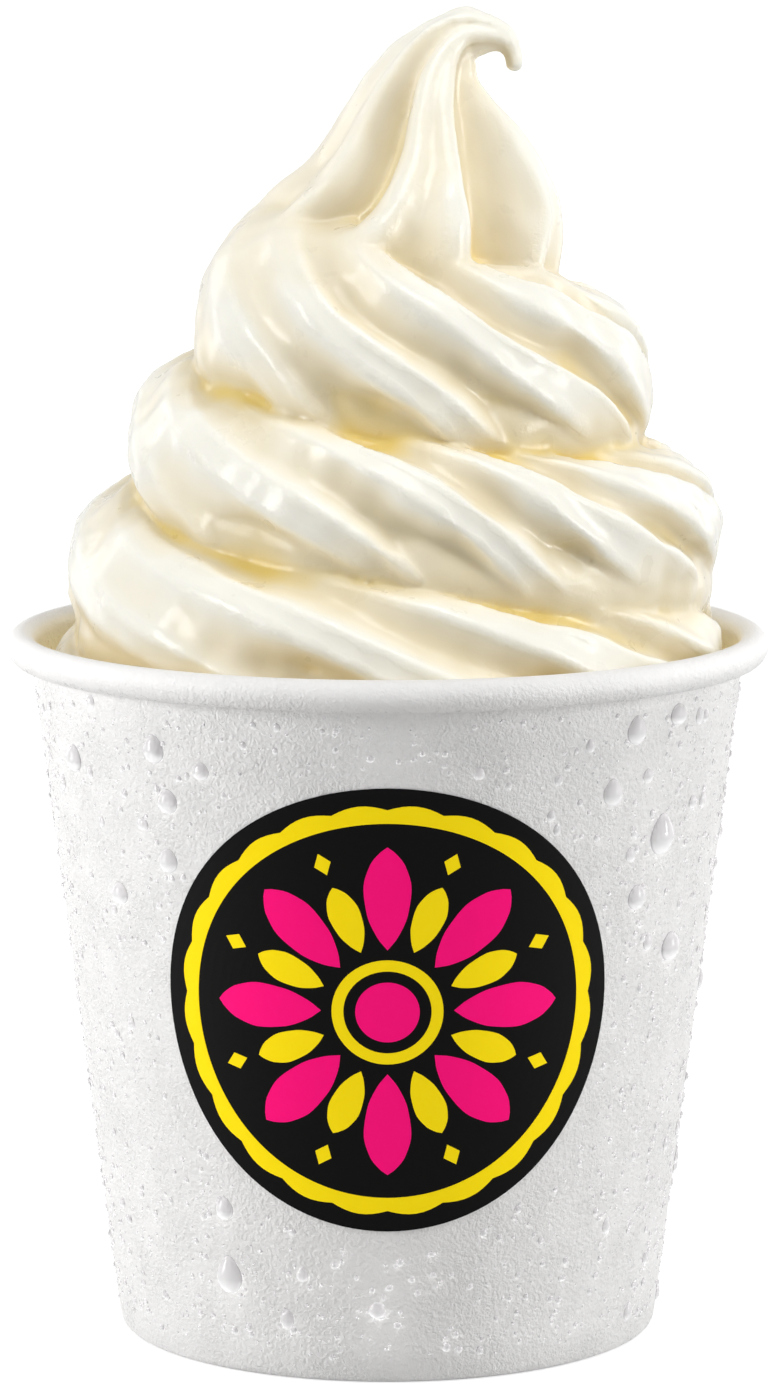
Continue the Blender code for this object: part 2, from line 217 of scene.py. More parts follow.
# %% [markdown]
# ## The shape of the rope
#
# Soft serve leaves the machine through a star-shaped nozzle, so it is a rope with ridges along it.
# The ridges wind round the rope as it is laid down in coils. Each coil is smaller than the one
# below, sags a little over it and presses its top flat. All of that can be said with a few short
# tables of real sizes. A smooth curve is drawn through each table, and the rope's surface is a grid
# of points: rows along the rope, columns round it.


# %% Curves through small tables
def smooth_table(x, xs, ys):
    """A curve through the table's points, with no bumps between them."""
    slope = np.diff(ys) / np.diff(xs)
    tangent = np.zeros(len(xs))
    same = slope[1:] * slope[:-1] > 0
    tangent[1:-1][same] = 2 * slope[1:][same] * slope[:-1][same] / (slope[1:] + slope[:-1])[same]
    tangent[0] = slope[0]
    tangent[-1] = slope[-1]
    i = np.clip(np.searchsorted(xs, x) - 1, 0, len(xs) - 2)
    step = xs[i + 1] - xs[i]
    t = (x - xs[i]) / step
    start = (2 * t**3 - 3 * t**2 + 1) * ys[i] + (t**3 - 2 * t**2 + t) * step * tangent[i]
    end = (3 * t**2 - 2 * t**3) * ys[i + 1] + (t**3 - t**2) * step * tangent[i + 1]
    return start + end


def round_table(x, xs, ys, period):
    """The same for a curve that repeats."""
    shifts = (-period, 0.0, period)
    return smooth_table(x, np.concatenate([xs + shift for shift in shifts]), np.tile(ys, 3))


def smoothstep(x, low, high):
    """0 below low, 1 above high, and a soft step between them."""
    t = np.clip((x - low) / (high - low), 0, 1)
    return t * t * (3 - 2 * t)


def blur(values, half):
    """Each row as the bell-shaped average of its neighbours."""
    kernel = np.hanning(2 * half + 3)[1:-1]
    kernel /= kernel.sum()
    padded = np.concatenate([values[:1].repeat(half, 0), values, values[-1:].repeat(half, 0)])
    columns = [np.convolve(padded[:, c], kernel, "valid") for c in range(values.shape[1])]
    return np.stack(columns, axis=1)


def unit(vectors):
    return vectors / np.linalg.norm(vectors, axis=-1, keepdims=True)


def swept(centre, along, outward, reach, angle):
    """Points round a middle line, row by row: outward at angle 0, upward at a quarter turn."""
    outward = unit(outward - along * (outward * along).sum(1, keepdims=True))
    upward = np.cross(along, outward)
    across = (
        np.cos(angle)[None, :, None] * outward[:, None, :]
        + np.sin(angle)[None, :, None] * upward[:, None, :]
    )
    return centre[:, None, :] + reach[..., None] * across


print("half way up a soft step:", smoothstep(np.array([0.5]), 0, 1))

# %% [markdown]
# ## The rope's path
#
# The rope climbs clockwise as seen from above. A place on it is counted in turns: 0 is the front of
# the top coil, 0.25 its left, 0.5 its back, and whole coils lie below at -1 and -2. Counting this
# way keeps every table short, because one number says how far along the rope a size belongs.

# %% The coils
SWIRL_CENTRE = (2.3 * MM, 1.0 * MM)
LEAN_FROM = (-2.35, -1.75)
LEAN = 3.0 * MM
ROPE_START = -3.0
ROPE_END = 0.75
ROPE_RADIUS = 12.0 * MM
COIL_PITCH = 15.7 * MM
COIL_HEIGHT = 118.0 * MM
COIL_RADIUS = 15.0 * MM
COIL_TAPER = 8.2 * MM
COIL_RADIUS_MOST = 28.6 * MM
COIL_TILT = 0.055
# The top coil turns in under the peak: turn, then distance from the axis, height and rope radius
# in millimetres.
TOP_COIL = (
    (-0.10, 15.9, 116.3, 12.0),
    (0.02, 15.2, 117.8, 12.4),
    (0.12, 13.8, 119.2, 12.9),
    (0.25, 11.2, 121.2, 13.2),
    (0.50, 7.5, 122.5, 12.8),
    (0.75, 2.0, 122.0, 12.0),
)


def outward_at(turn):
    """The direction away from the swirl's axis at each turn."""
    return np.stack([-np.sin(TURN * turn), -np.cos(TURN * turn), 0 * turn], axis=1)


def rope_path(count):
    """Turn, centre points and radius along the rope."""
    turn = np.linspace(ROPE_START, ROPE_END, count)
    spread = np.minimum(COIL_RADIUS - COIL_TAPER * turn, COIL_RADIUS_MOST)
    height = COIL_HEIGHT + COIL_PITCH * turn
    radius = np.full(count, ROPE_RADIUS)
    top = np.array(TOP_COIL)
    top[:, 1:] *= MM
    above = turn > top[0, 0]
    spread[above], height[above], radius[above] = (
        smooth_table(turn[above], top[:, 0], top[:, column]) for column in (1, 2, 3)
    )
    lean = LEAN * (1 - smoothstep(turn, *LEAN_FROM))
    x = SWIRL_CENTRE[0] - lean - spread * np.sin(TURN * turn)
    y = SWIRL_CENTRE[1] - spread * np.cos(TURN * turn)
    centre = np.stack([x, y, height - COIL_TILT * x], axis=1)
    half = count // 100
    return turn, blur(centre, half), blur(radius[:, None], half)[:, 0]


_, centre, _ = rope_path(400)
print("rope length in mm:", round(np.linalg.norm(np.diff(centre, axis=0), axis=1).sum() / MM))

# %% [markdown]
# ## The ridges
#
# A piped ridge isn't a neat wave. Its top is flat and bright, the side above it drops off steeply,
# and from the bottom of the hollow the surface rises gently to the next ridge's edge. That one
# section is written as a table from one edge to the next, and it is repeated seven times round the
# rope. On the left the ridges are shallow, and on the right their tops are wide.

# %% Ridges round the rope
RIDGES = 7
# Across one ridge, upward from the edge along its foot: share of the way, reach.
RIDGE_SECTION = (
    (0.00, 1.00),
    (0.03, 1.00),
    (0.15, 0.972),
    (0.27, 0.985),
    (0.305, 1.00),
    (0.34, 0.965),
    (0.40, 0.84),
    (0.50, 0.77),
    (0.62, 0.775),
    (0.78, 0.84),
    (0.95, 0.97),
)
# The share of a ridge that its flat top takes, and the same where the rope passes the right side.
RIDGE_TOP = 0.34
RIDGE_TOP_RIGHT = 0.68
# The share of the ridges' height that is left on the left side, and there on the top coil.
LEFT_RELIEF = 0.32
TOP_LEFT_RELIEF = 0.14
TOP_COIL_FROM = (-0.4, 0.0)
# How many ridges have passed the rope's outer side at each turn.
RIDGES_PASSED = (
    (-3.0, -29.0),
    (-2.08, -20.0),
    (-2.03, -19.6),
    (-1.966, -19.12),
    (-1.92, -18.82),
    (-1.808, -18.2),
    (-1.18, -12.0),
    (-1.12, -11.45),
    (-1.083, -10.97),
    (-1.03, -10.2),
    (-0.96, -9.5),
    (-0.907, -9.1),
    (-0.844, -8.62),
    (-0.19, -2.07),
    (-0.132, -1.52),
    (-0.08, -1.11),
    (-0.025, -0.52),
    (0.036, 0.0),
    (0.085, 0.52),
    (0.75, 7.0),
)


def rope_wave(turn, angle):
    """Phase of the ridges over the rope's surface: a whole number along each one's lower edge."""
    passed = smooth_table(turn, *np.transpose(RIDGES_PASSED))
    return RIDGES * angle[None, :] / TURN - passed[:, None]


def rope_ridges(turn, angle):
    """The ridges' reach over the rope's surface: wide tops on the right, shallow on the left."""
    phase = rope_wave(turn, angle) % 1.0
    side = -np.sin(TURN * turn)[:, None]
    top = RIDGE_TOP + (RIDGE_TOP_RIGHT - RIDGE_TOP) * np.clip(side, 0, 1) ** 2
    above = RIDGE_TOP + (phase - top) * (1 - RIDGE_TOP) / (1 - top)
    phase = np.where(phase < top, phase * RIDGE_TOP / top, above)
    section = round_table(phase, *np.transpose(RIDGE_SECTION), 1.0)
    left = LEFT_RELIEF + (TOP_LEFT_RELIEF - LEFT_RELIEF) * smoothstep(turn, *TOP_COIL_FROM)
    relief = 1 - (1 - left[:, None]) * smoothstep(-side, 0.0, 1.0)
    return 1 - relief * (1 - section)


print("ridges:", RIDGES, "points in the section's table:", len(RIDGE_SECTION))

# %% [markdown]
# ## Weight and fine lines
#
# Soft serve gives way under its own weight. A coil sags and bulges over the one below it, and it
# is pressed flat where it carries the next one, more at the front than at the sides. Both are
# swells and dents of the round section. Very fine lines run along the ridges too, left by the
# nozzle's rough teeth. With that the rope is complete, as one grid of points.

# %% Weight and fine lines
# Weight: how much the rope swells where it sags, and shrinks where the coil above presses it.
SAG = 0.27
SAG_DIRECTION = math.radians(-72)
PRESS = 0.44
PRESS_DIRECTION = math.radians(80)
PRESS_UNTIL = (-0.55, -0.30)
SIDE_SHARE = 0.45
LINES_PER_RIDGE = 4
LINE_DEPTH = 0.004
ROPE_ROWS = 1800
ROPE_COLUMNS = 280


def rope_weight(turn, angle):
    """How the rope's own weight changes its reach: down over the coil below, flat on its top."""
    share = SIDE_SHARE + (1 - SIDE_SHARE) * np.clip(np.cos(TURN * turn), 0, 1)
    pressed = share * (1 - smoothstep(turn, *PRESS_UNTIL))
    below = np.clip(np.cos(angle - SAG_DIRECTION), 0, 1) ** 2
    above = np.clip(np.cos(angle - PRESS_DIRECTION), 0, 1) ** 2
    return 1 + SAG * np.outer(share, below) - PRESS * np.outer(pressed, above)


def nozzle_lines(wave, along):
    """Fine lines along the ridges, which come and go."""
    drift = np.sin(3.1 * along) * np.sin(TURN * wave / RIDGES + 1.7 * along)
    return 1 + LINE_DEPTH * np.sin(TURN * LINES_PER_RIDGE * wave) * drift


def rope_grid(count, around):
    """Points of the ridged rope, row by row along it."""
    turn, centre, radius = rope_path(count)
    angle = np.linspace(0, TURN, around, endpoint=False)
    reach = radius[:, None] * rope_ridges(turn, angle) * rope_weight(turn, angle)
    reach *= nozzle_lines(rope_wave(turn, angle), TURN * turn[:, None])
    return swept(centre, unit(np.gradient(centre, axis=0)), outward_at(turn), reach, angle)


rope = rope_grid(ROPE_ROWS, ROPE_COLUMNS)
print("rope points:", rope.shape[0] * rope.shape[1])

# %% [markdown]
# ## The peak
#
# When the machine's lever goes up, the last of the rope is drawn out into a thin neck that folds
# over at its tip. The peak is a second sweep. Its middle line and its thickness come from a table
# that goes up through the neck and down into the hook, so it is measured along the line.

# %% The peak's middle line
# In millimetres along its curved middle line: sideways place, height, radius.
PEAK = (
    (1.5, 110.0, 16.0),
    (0.8, 120.0, 19.8),
    (0.4, 126.0, 20.2),
    (1.8, 130.5, 19.0),
    (3.2, 135.0, 16.9),
    (4.3, 140.0, 12.7),
    (4.6, 145.0, 9.3),
    (5.6, 149.3, 6.4),
    (7.3, 152.1, 4.5),
    (9.4, 153.4, 3.05),
    (11.6, 153.4, 2.25),
    (13.2, 153.0, 1.80),
    (14.2, 152.1, 1.40),
    (14.65, 151.0, 1.12),
    (14.75, 150.1, 1.15),
    (14.75, 149.3, 1.05),
    (14.75, 148.9, 0.65),
)


def peak_path(count):
    """Centre points and radius along the peak, evenly spaced along its middle line."""
    stations = np.array(PEAK) * MM
    step = np.linalg.norm(np.diff(stations[:, :2], axis=0), axis=1)
    length = np.concatenate([[0], np.cumsum(step)])
    along = np.linspace(0, length[-1], count)
    x, height, radius = (smooth_table(along, length, stations[:, c]) for c in range(3))
    centre = np.stack([x, np.full(count, SWIRL_CENTRE[1]), height], axis=1)
    return blur(centre, count // 50), radius


print("peak's highest point of the line in mm:", max(height for _, height, _ in PEAK))

# %% [markdown]
# ## The peak's ridges
#
# The peak has a bold ridge down the middle of its front, with a deep hollow on either side. The
# ridges stand close together high up and spread where they meet the top coil. So the section is a
# table of directions and reaches for both heights, and it is mixed in between. Round the foot the
# sections lie level; in the neck they turn to follow the line.

# %% The peak's sweep
BEND_HEIGHTS = (140.0 * MM, 152.0 * MM)
# Azimuth from the front, to the right, high up and at the foot; then reach high up and at the
# foot.
PEAK_SECTION = (
    (-176, -176, 0.80, 0.80),
    (-150, -150, 1.00, 1.00),
    (-122, -122, 0.80, 0.80),
    (-94, -94, 1.00, 1.00),
    (-66, -76, 0.90, 0.90),
    (-48, -61, 1.00, 1.00),
    (-40, -53, 0.82, 0.84),
    (-30, -44, 0.66, 0.68),
    (-20, -36, 0.58, 0.58),
    (-14, -30, 0.86, 0.88),
    (-6, -21, 1.00, 1.00),
    (5, 2, 0.92, 0.88),
    (12, 24, 0.99, 0.99),
    (19, 29, 0.96, 0.95),
    (26, 34, 0.66, 0.66),
    (37, 41, 0.58, 0.60),
    (50, 48, 0.64, 0.68),
    (62, 54, 0.82, 0.86),
    (71, 59, 0.98, 1.00),
    (76, 65, 0.97, 0.93),
    (84, 78, 1.00, 1.00),
    (102, 102, 0.80, 0.80),
    (128, 128, 1.00, 1.00),
    (155, 155, 0.80, 0.80),
)
SPREAD_HEIGHTS = (125.0 * MM, 137.0 * MM)
LINE_DRIFT = 6.0 * MM
PEAK_ROWS = 420
PEAK_COLUMNS = 320


def peak_section(centre, angle):
    """The peak's reach round its middle line, as a share of its radius."""
    high, foot, high_reach, foot_reach = np.transpose(PEAK_SECTION).astype(float)
    rows = []
    for share in smoothstep(centre[:, 2], *SPREAD_HEIGHTS):
        azimuth = np.radians(share * high + (1 - share) * foot)
        reach = share * high_reach + (1 - share) * foot_reach
        rows.append(round_table(angle, azimuth, reach, TURN))
    return np.array(rows)


def peak_grid(count, around):
    """Points of the ridged peak; angle 0 faces the front, a quarter turn the right."""
    centre, radius = peak_path(count)
    angle = np.linspace(-math.pi, math.pi, around, endpoint=False)
    outward = np.tile([0.0, -1.0, 0.0], (count, 1))
    reach = radius[:, None] * peak_section(centre, angle)
    reach *= nozzle_lines(RIDGES * angle[None, :] / TURN, centre[:, 2:] / LINE_DRIFT)
    bend = smoothstep(centre[:, 2], *BEND_HEIGHTS)[:, None]
    along = unit(np.gradient(centre, axis=0))
    along = unit(bend * along + (1 - bend) * np.array([0.0, 0.0, 1.0]))
    return swept(centre, along, outward, reach, angle)


peak = peak_grid(PEAK_ROWS, PEAK_COLUMNS)
print("tip of the peak in mm:", [round(float(v) / MM, 1) for v in peak[-1].mean(0)])

# %% [markdown]
# ## From grids to meshes
#
# A grid of points becomes a closed tube when each point is joined to its neighbours and both ends
# are capped. A few more tools join meshes, apply modifiers, and read or write all points of a
# mesh as one array, which is far quicker than a loop over them.

# %% Mesh helpers
def lofted(grid):
    """A closed tube through the rows of a grid of points, with flat ends."""
    rows, around = grid.shape[:2]
    start = np.arange(rows - 1)[:, None] * around
    here = np.arange(around)[None, :]
    beside = (here + 1) % around
    corners = (start + here, start + beside, start + around + beside, start + around + here)
    faces = np.stack(corners, axis=-1).reshape(-1, 4).tolist()
    faces.append(list(range(around))[::-1])
    faces.append(list(range((rows - 1) * around, rows * around)))
    mesh = bpy.data.meshes.new("loft")
    mesh.from_pydata(grid.reshape(-1, 3).tolist(), [], faces)
    return mesh


def cone_grid(stations, around=160):
    """Rings of (radius, height) as a grid."""
    angle = np.linspace(0, TURN, around, endpoint=False)
    ring = np.stack([np.cos(angle), np.sin(angle)], axis=1)
    rings = [np.column_stack([r * ring, np.full(around, z)]) for r, z in stations]
    return np.array(rings)


def applied(obj):
    """The object's mesh with its modifiers applied; the object itself is removed."""
    bpy.context.scene.collection.objects.link(obj)
    bpy.context.view_layer.update()
    evaluated = obj.evaluated_get(bpy.context.evaluated_depsgraph_get())
    mesh = bpy.data.meshes.new_from_object(evaluated)
    bpy.data.objects.remove(obj)
    return mesh


def joined(name, meshes):
    """Several meshes as one, with its faces looking out."""
    shape = bmesh.new()
    for mesh in meshes:
        shape.from_mesh(mesh)
        bpy.data.meshes.remove(mesh)
    bmesh.ops.recalc_face_normals(shape, faces=shape.faces)
    mesh = bpy.data.meshes.new(name)
    shape.to_mesh(mesh)
    shape.free()
    return mesh


def read(mesh, what="vertices", field="co", width=3, kind=np.float64):
    """A list of a mesh's values as an array."""
    items = getattr(mesh, what)
    values = np.empty(len(items) * width, kind)
    items.foreach_get(field, values)
    return values.reshape(-1, width)


def write_points(mesh, points):
    mesh.vertices.foreach_set("co", points.ravel())
    mesh.update()


print("points in a ring of a cone:", cone_grid([(1.0, 0.0)]).shape[1])

# %% [markdown]
# ## Fusing the soft serve
#
# The rope, the peak and the cream inside the cup melt into one body. Blender's voxel remesh does
# the same: it turns overlapping closed shapes into a single even skin. The part that the cup hides
# is squeezed before the remesh and stretched back after it, so that the fine faces are spent where
# they are seen.

# %% One skin
FOOT_RADIUS = 31.9 * MM
WALL_SLOPE = 0.1260
ROLL_HEIGHT = 81.75 * MM
BOARD = 0.45 * MM
FILL_FOOT = 7.9 * MM
FILL_TOP = 75.0 * MM
HELD_GAP = 0.3 * MM
HIDDEN_BELOW = 68.0 * MM
SQUEEZE = 0.15
FILLER_RADIUS = 7.4 * MM
FILLER_OUT = 3.6 * MM
# Radius and height of the two ends of the cream inside the coils.
CORE = ((27.0 * MM, 70.0 * MM), (9.0 * MM, 124.0 * MM))
VOXEL = 0.42 * MM


def wall_radius(height):
    """The radius of the wall's outer side at a height."""
    return FOOT_RADIUS + WALL_SLOPE * height


def filler_grid(count, around):
    """A plain rope that lies in the gap below each coil, so that no crease is a deep pit."""
    turn, centre, _ = rope_path(count)
    angle = np.linspace(0, TURN, around, endpoint=False)
    outward = outward_at(turn)
    centre = centre + FILLER_OUT * outward - [0, 0, COIL_PITCH / 2]
    reach = np.full((count, around), FILLER_RADIUS)
    return swept(centre, unit(np.gradient(centre, axis=0)), outward, reach, angle)


filler = filler_grid(900, 96)
core = cone_grid(CORE)
inside = BOARD + HELD_GAP
bulk_rings = [(wall_radius(z) - inside, z) for z in (FILL_FOOT, HIDDEN_BELOW, FILL_TOP)]
fused = joined("fused", [lofted(grid) for grid in (rope, peak, filler, core, cone_grid(bulk_rings))])
points = read(fused)
hidden = np.minimum(points[:, 2] - HIDDEN_BELOW, 0)
points[:, 2] -= (1 - SQUEEZE) * hidden
write_points(fused, points)

body = bpy.data.objects.new("fused", fused)
remesh = body.modifiers.new("skin", "REMESH")
remesh.mode = "VOXEL"
remesh.voxel_size = VOXEL
skin = applied(body)

points = read(skin)
hidden = np.minimum(points[:, 2] - HIDDEN_BELOW, 0)
points[:, 2] += (1 / SQUEEZE - 1) * hidden
points[:, 2] = np.maximum(points[:, 2], FILL_FOOT)
write_points(skin, points)
print("skin points:", len(points), "triangles:", 2 * len(skin.polygons))

# %% [markdown]
# ## Softening
#
# The remeshed skin still has the stair-steps of its voxels, so each point is moved towards the
# average of its neighbours a few times. Where the peak's foot melts into the top coil on the left,
# it is done a few times more.

# %% Averaging over neighbours
SOFTEN_TIMES = 3
SOFTEN_SHARE = 0.5
# Heights and sideways places between which the peak's foot melts into the top coil.
JOIN_HEIGHTS = (112.0 * MM, 119.0 * MM, 131.0 * MM, 138.0 * MM)
JOIN_SIDE = (-2.0 * MM, -9.0 * MM)
JOIN_TIMES = 10


def neighbour_average(values, edges, counts):
    """Each point's values averaged over the points that it shares an edge with."""
    total = np.empty_like(values)
    for column in range(values.shape[1]):
        one, two = values[edges[:, 0], column], values[edges[:, 1], column]
        total[:, column] = np.bincount(edges[:, 1], one, len(values))
        total[:, column] += np.bincount(edges[:, 0], two, len(values))
    return total / counts[:, None]


edges = read(skin, "edges", "vertices", 2, np.int32)
counts = np.maximum(np.bincount(edges.ravel(), minlength=len(points)), 1)
for _ in range(SOFTEN_TIMES):
    points += SOFTEN_SHARE * (neighbour_average(points, edges, counts) - points)
low, full, until, high = JOIN_HEIGHTS
join = smoothstep(points[:, 2], low, full) * (1 - smoothstep(points[:, 2], until, high))
join *= smoothstep(-points[:, 0], -JOIN_SIDE[0], -JOIN_SIDE[1]) * (points[:, 1] < 0)
for _ in range(JOIN_TIMES):
    points += SOFTEN_SHARE * join[:, None] * (neighbour_average(points, edges, counts) - points)
write_points(skin, points)
print("points moved where the peak joins:", int((join > 0).sum()))

# %% [markdown]
# ## Creases and lumps
#
# Where two coils meet, cream wells into the crease and rounds it. The same averaging, done many
# times over, gives a much softer copy of the surface, and the deepest points move part of the way
# there. Then come a few shallow lumps, since nothing piped by hand is perfectly even. Last, the
# cup holds in whatever would reach into its wall.

# %% Creases and lumps
FILL_TIMES = 150
CREASE_DEPTHS = (0.9 * MM, 2.4 * MM)
CREASE_FILL = 0.65
# Lumps: size, height, and the seed of their places.
LUMPS = ((11.0 * MM, 0.22 * MM, 3), (4.5 * MM, 0.07 * MM, 5))
# Below this height the cup holds the cream in.
HELD_BELOW = ROLL_HEIGHT + 1.9 * MM


def much_softer(points, times, edges, counts):
    """A copy of the points, averaged so many times."""
    for _ in range(times):
        points = neighbour_average(points, edges, counts)
    return points


def waves(points, size, seed, number=14):
    """A smooth random field over space, about -1 to 1, with waves of one size."""
    draw = np.random.default_rng(seed)
    direction = unit(draw.normal(size=(number, 3)))
    start = draw.uniform(0, TURN, number)
    return np.sin(points @ direction.T * TURN / size + start).sum(1) / math.sqrt(number)


soft = much_softer(points, FILL_TIMES, edges, counts)
normals = read(skin, "vertex_normals", "vector")
deep = ((soft - points) * normals).sum(1)
fill = CREASE_FILL * smoothstep(deep, *CREASE_DEPTHS)
points += fill[:, None] * (soft - points)
for size, depth, seed in LUMPS:
    points += normals * (depth * waves(points, size, seed))[:, None]
reach = np.hypot(points[:, 0], points[:, 1])
limit = wall_radius(points[:, 2]) - inside
held = (points[:, 2] < HELD_BELOW) & (reach > limit)
points[held, :2] *= (limit[held] / reach[held])[:, None]
write_points(skin, points)
print("points held in by the cup:", int(held.sum()))

# %% [markdown]
# ## How deep a point lies
#
# The cream is painted darker and yellower in its creases, as painted shade and a painted glow of the
# light that scatters in it, and it is icier along its sharp crests. How far a point lies below a
# very soft copy of the surface says how deep in a hollow it is. How far it stands above a copy that
# is hardly softened says how sharp its crest is. Both numbers are kept on the mesh, where the
# material can read them.

# %% Depths kept on the mesh
HOLLOW_TIMES = 400
# High on the thin peak, where light goes through, less shade is painted: by this share, between
# these heights.
PEAK_PALER = 0.5
PEAK_PALER_HEIGHTS = (121.0 * MM, 128.0 * MM)
CREST_TIMES = 6
CREST_SHARP = 0.04


def depth_below(points, times, edges, counts):
    """How far each point lies below a copy of the surface averaged so many times, in mm."""
    soft = much_softer(points, times, edges, counts)
    depth = ((soft - points) * read(skin, "vertex_normals", "vector")).sum(1) / MM
    return neighbour_average(depth[:, None], edges, counts)[:, 0]


hollow = depth_below(points, HOLLOW_TIMES, edges, counts)
hollow *= 1 - PEAK_PALER * smoothstep(points[:, 2], *PEAK_PALER_HEIGHTS)
crest = -depth_below(points, CREST_TIMES, edges, counts) / CREST_SHARP
for name, values in (("hollow", hollow), ("crest", crest)):
    attribute = skin.attributes.new(name, "FLOAT", "POINT")
    attribute.data.foreach_set("value", values.astype(np.float32))
    print(name, [round(float(v), 2) for v in np.percentile(values, (5, 50, 95, 99))])
skin.shade_smooth()

# %% [markdown]
# ## Soft serve
#
# Vanilla soft serve is a foam of milk, air and fine ice with a wet skin. Light goes some way into it
# and comes out again, which makes it glow softly and turns the deep creases a warm yellow. The wet
# skin gives it sharp highlights. So the material has light scattering below the surface, a
# water-like coat over it, and a fine icy grain. Its colour also follows the hollows: shade and the
# creases' yellow glow are painted into it, darker and yellower the deeper a point lies.

# %% Soft serve material
# The cream's colour on its crests, where no shade is painted.
CREAM_CREST = "F9F5EA"
# Painted shade and painted glow for flanks, hollows and creases: the colour, and the depths in mm
# between which it takes over.
CREAM_SHADE_AND_GLOW = (("F5EDD9", -1.2, -0.4), ("E6DABA", -0.4, 0.5), ("E7CD77", 0.7, 1.8))
CLOUD = 9.0 * MM
CLOUD_SHARE = 0.5
STREAK = 5.0 * MM
STREAK_NOISE = (0.35, 0.65)
SKIN_ROUGHNESS = (0.26, 0.50)
# Ice shows as a fine grain, most of it along the sharp crests. Real crystals are a tenth of this
# size and wouldn't show.
ICE_GRAIN = 0.45 * MM
ICE_HEIGHT = 0.06 * MM
ICE_CRESTS = (0.3, 1.2)
ICE_SHARES = (0.10, 1.0)

cream, tree, shader = new_material(
    "whipped_vanilla_soft_serve",
    IOR=1.40,
    Subsurface_Weight=0.60,
    Subsurface_Radius=(1.0, 1.0, 0.90),
    Subsurface_Scale=0.8 * MM,
    Coat_Weight=0.42,
    Coat_Roughness=0.10,
    Coat_IOR=1.33,
)
place = add(tree, "TexCoord").outputs["Object"]
depth = add(tree, "Attribute", attribute_name="hollow").outputs["Fac"]
cloud = add(tree, "TexNoise", {"Vector": place, "Scale": 1 / CLOUD, "Detail": 2.0})
sunk = add(tree, "Math", {0: cloud.outputs["Fac"], 1: 0.5}, operation="SUBTRACT")
sunk = {0: sunk.outputs[0], 1: CLOUD_SHARE, 2: depth}
sunk = add(tree, "Math", sunk, operation="MULTIPLY_ADD").outputs[0]
# The colour turns darker and yellower with depth: painted shade in the hollows, a painted glow in
# the creases.
colour = linear(CREAM_CREST)
for tint, start, end in CREAM_SHADE_AND_GLOW:
    share = add(tree, "MapRange", {"Value": sunk, "From Min": start, "From Max": end})
    share = share.outputs["Result"]
    mix = add(tree, "Mix", {FACTOR: share, FIRST: colour, SECOND: linear(tint)}, data_type="RGBA")
    colour = mix.outputs[MIXED]
tree.links.new(colour, shader.inputs["Base Color"])

wet = add(tree, "TexNoise", {"Vector": place, "Scale": 1 / STREAK, "Detail": 4.0})
levels = {"Value": wet.outputs["Fac"], "From Min": STREAK_NOISE[0], "From Max": STREAK_NOISE[1]}
levels.update({"To Min": SKIN_ROUGHNESS[0], "To Max": SKIN_ROUGHNESS[1]})
gloss = add(tree, "MapRange", levels)
tree.links.new(gloss.outputs["Result"], shader.inputs["Roughness"])
edge = add(tree, "Attribute", attribute_name="crest").outputs["Fac"]
levels = {"Value": edge, "From Min": ICE_CRESTS[0], "From Max": ICE_CRESTS[1]}
levels.update({"To Min": ICE_SHARES[0], "To Max": ICE_SHARES[1]})
amount = add(tree, "MapRange", levels).outputs["Result"]
rough = add(tree, "TexNoise", {"Vector": place, "Scale": 1 / ICE_GRAIN, "Detail": 3.0})
grain = add(tree, "Math", {0: rough.outputs["Fac"], 1: amount}, operation="MULTIPLY").outputs[0]
icy = add(tree, "Bump", {"Height": grain, "Strength": 1.0, "Distance": ICE_HEIGHT})
tree.links.new(icy.outputs["Normal"], shader.inputs["Normal"])

skin.materials.append(cream)
skin.name = "soft_serve_swirl"
soft_serve = bpy.data.objects.new("soft_serve_swirl", skin)
bpy.context.scene.collection.objects.link(soft_serve)
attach(soft_serve, "root")
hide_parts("soft_serve")
print("soft serve material:", cream.name)

# %% [markdown]
# ## The paper cup
#
# A paper cup's side is one sheet of coated board, wrapped into a cone and glued along a seam. Its
# top edge is rolled outward into a rim, and its foot is folded up inside, where it grips the skirt
# of the base. The side is drawn as one line through the middle of the board, turned round the axis
# by a Screw modifier and given the board's thickness by a Solidify modifier. The seam is a second
# layer of board at the back.

# %% Side, rim and foot
RIM_RADIUS = 45.0 * MM
ROLL_HALF_WIDTH = 1.70 * MM
ROLL_HALF_HEIGHT = 1.85 * MM
ROLL_FROM = -125.0
ROLL_TO = 190.0
ROLL_POINTS = 40
FOLD_WIDTH = 1.9 * MM
FOLD_HEIGHT = 0.6 * MM
FOLD_TOP = 6.2 * MM
STRAIGHT_HEIGHTS = (ROLL_HEIGHT - 1.2 * MM, 1.0 * MM)
CUP_SEGMENTS = 256


def turned(name, profile, segments):
    """A line of (radius, height) points turned round the Z axis."""
    links = [(i, i + 1) for i in range(len(profile) - 1)]
    mesh = bpy.data.meshes.new(name)
    mesh.from_pydata([(r, 0.0, z) for r, z in profile], links, [])
    obj = bpy.data.objects.new(name, mesh)
    screw = obj.modifiers.new("turn", "SCREW")
    screw.steps = segments
    screw.render_steps = segments
    screw.use_merge_vertices = True
    screw.merge_threshold = 0.01 * MM
    return obj


def arc(centre, half_width, half_height, start, end, count):
    """Points (radius, height) along a part of an ellipse, from one angle to another in degrees."""
    points = []
    for angle in np.radians(np.linspace(start, end, count)):
        across, up = half_width * math.cos(angle), half_height * math.sin(angle)
        points.append((centre[0] + across, centre[1] + up))
    return points


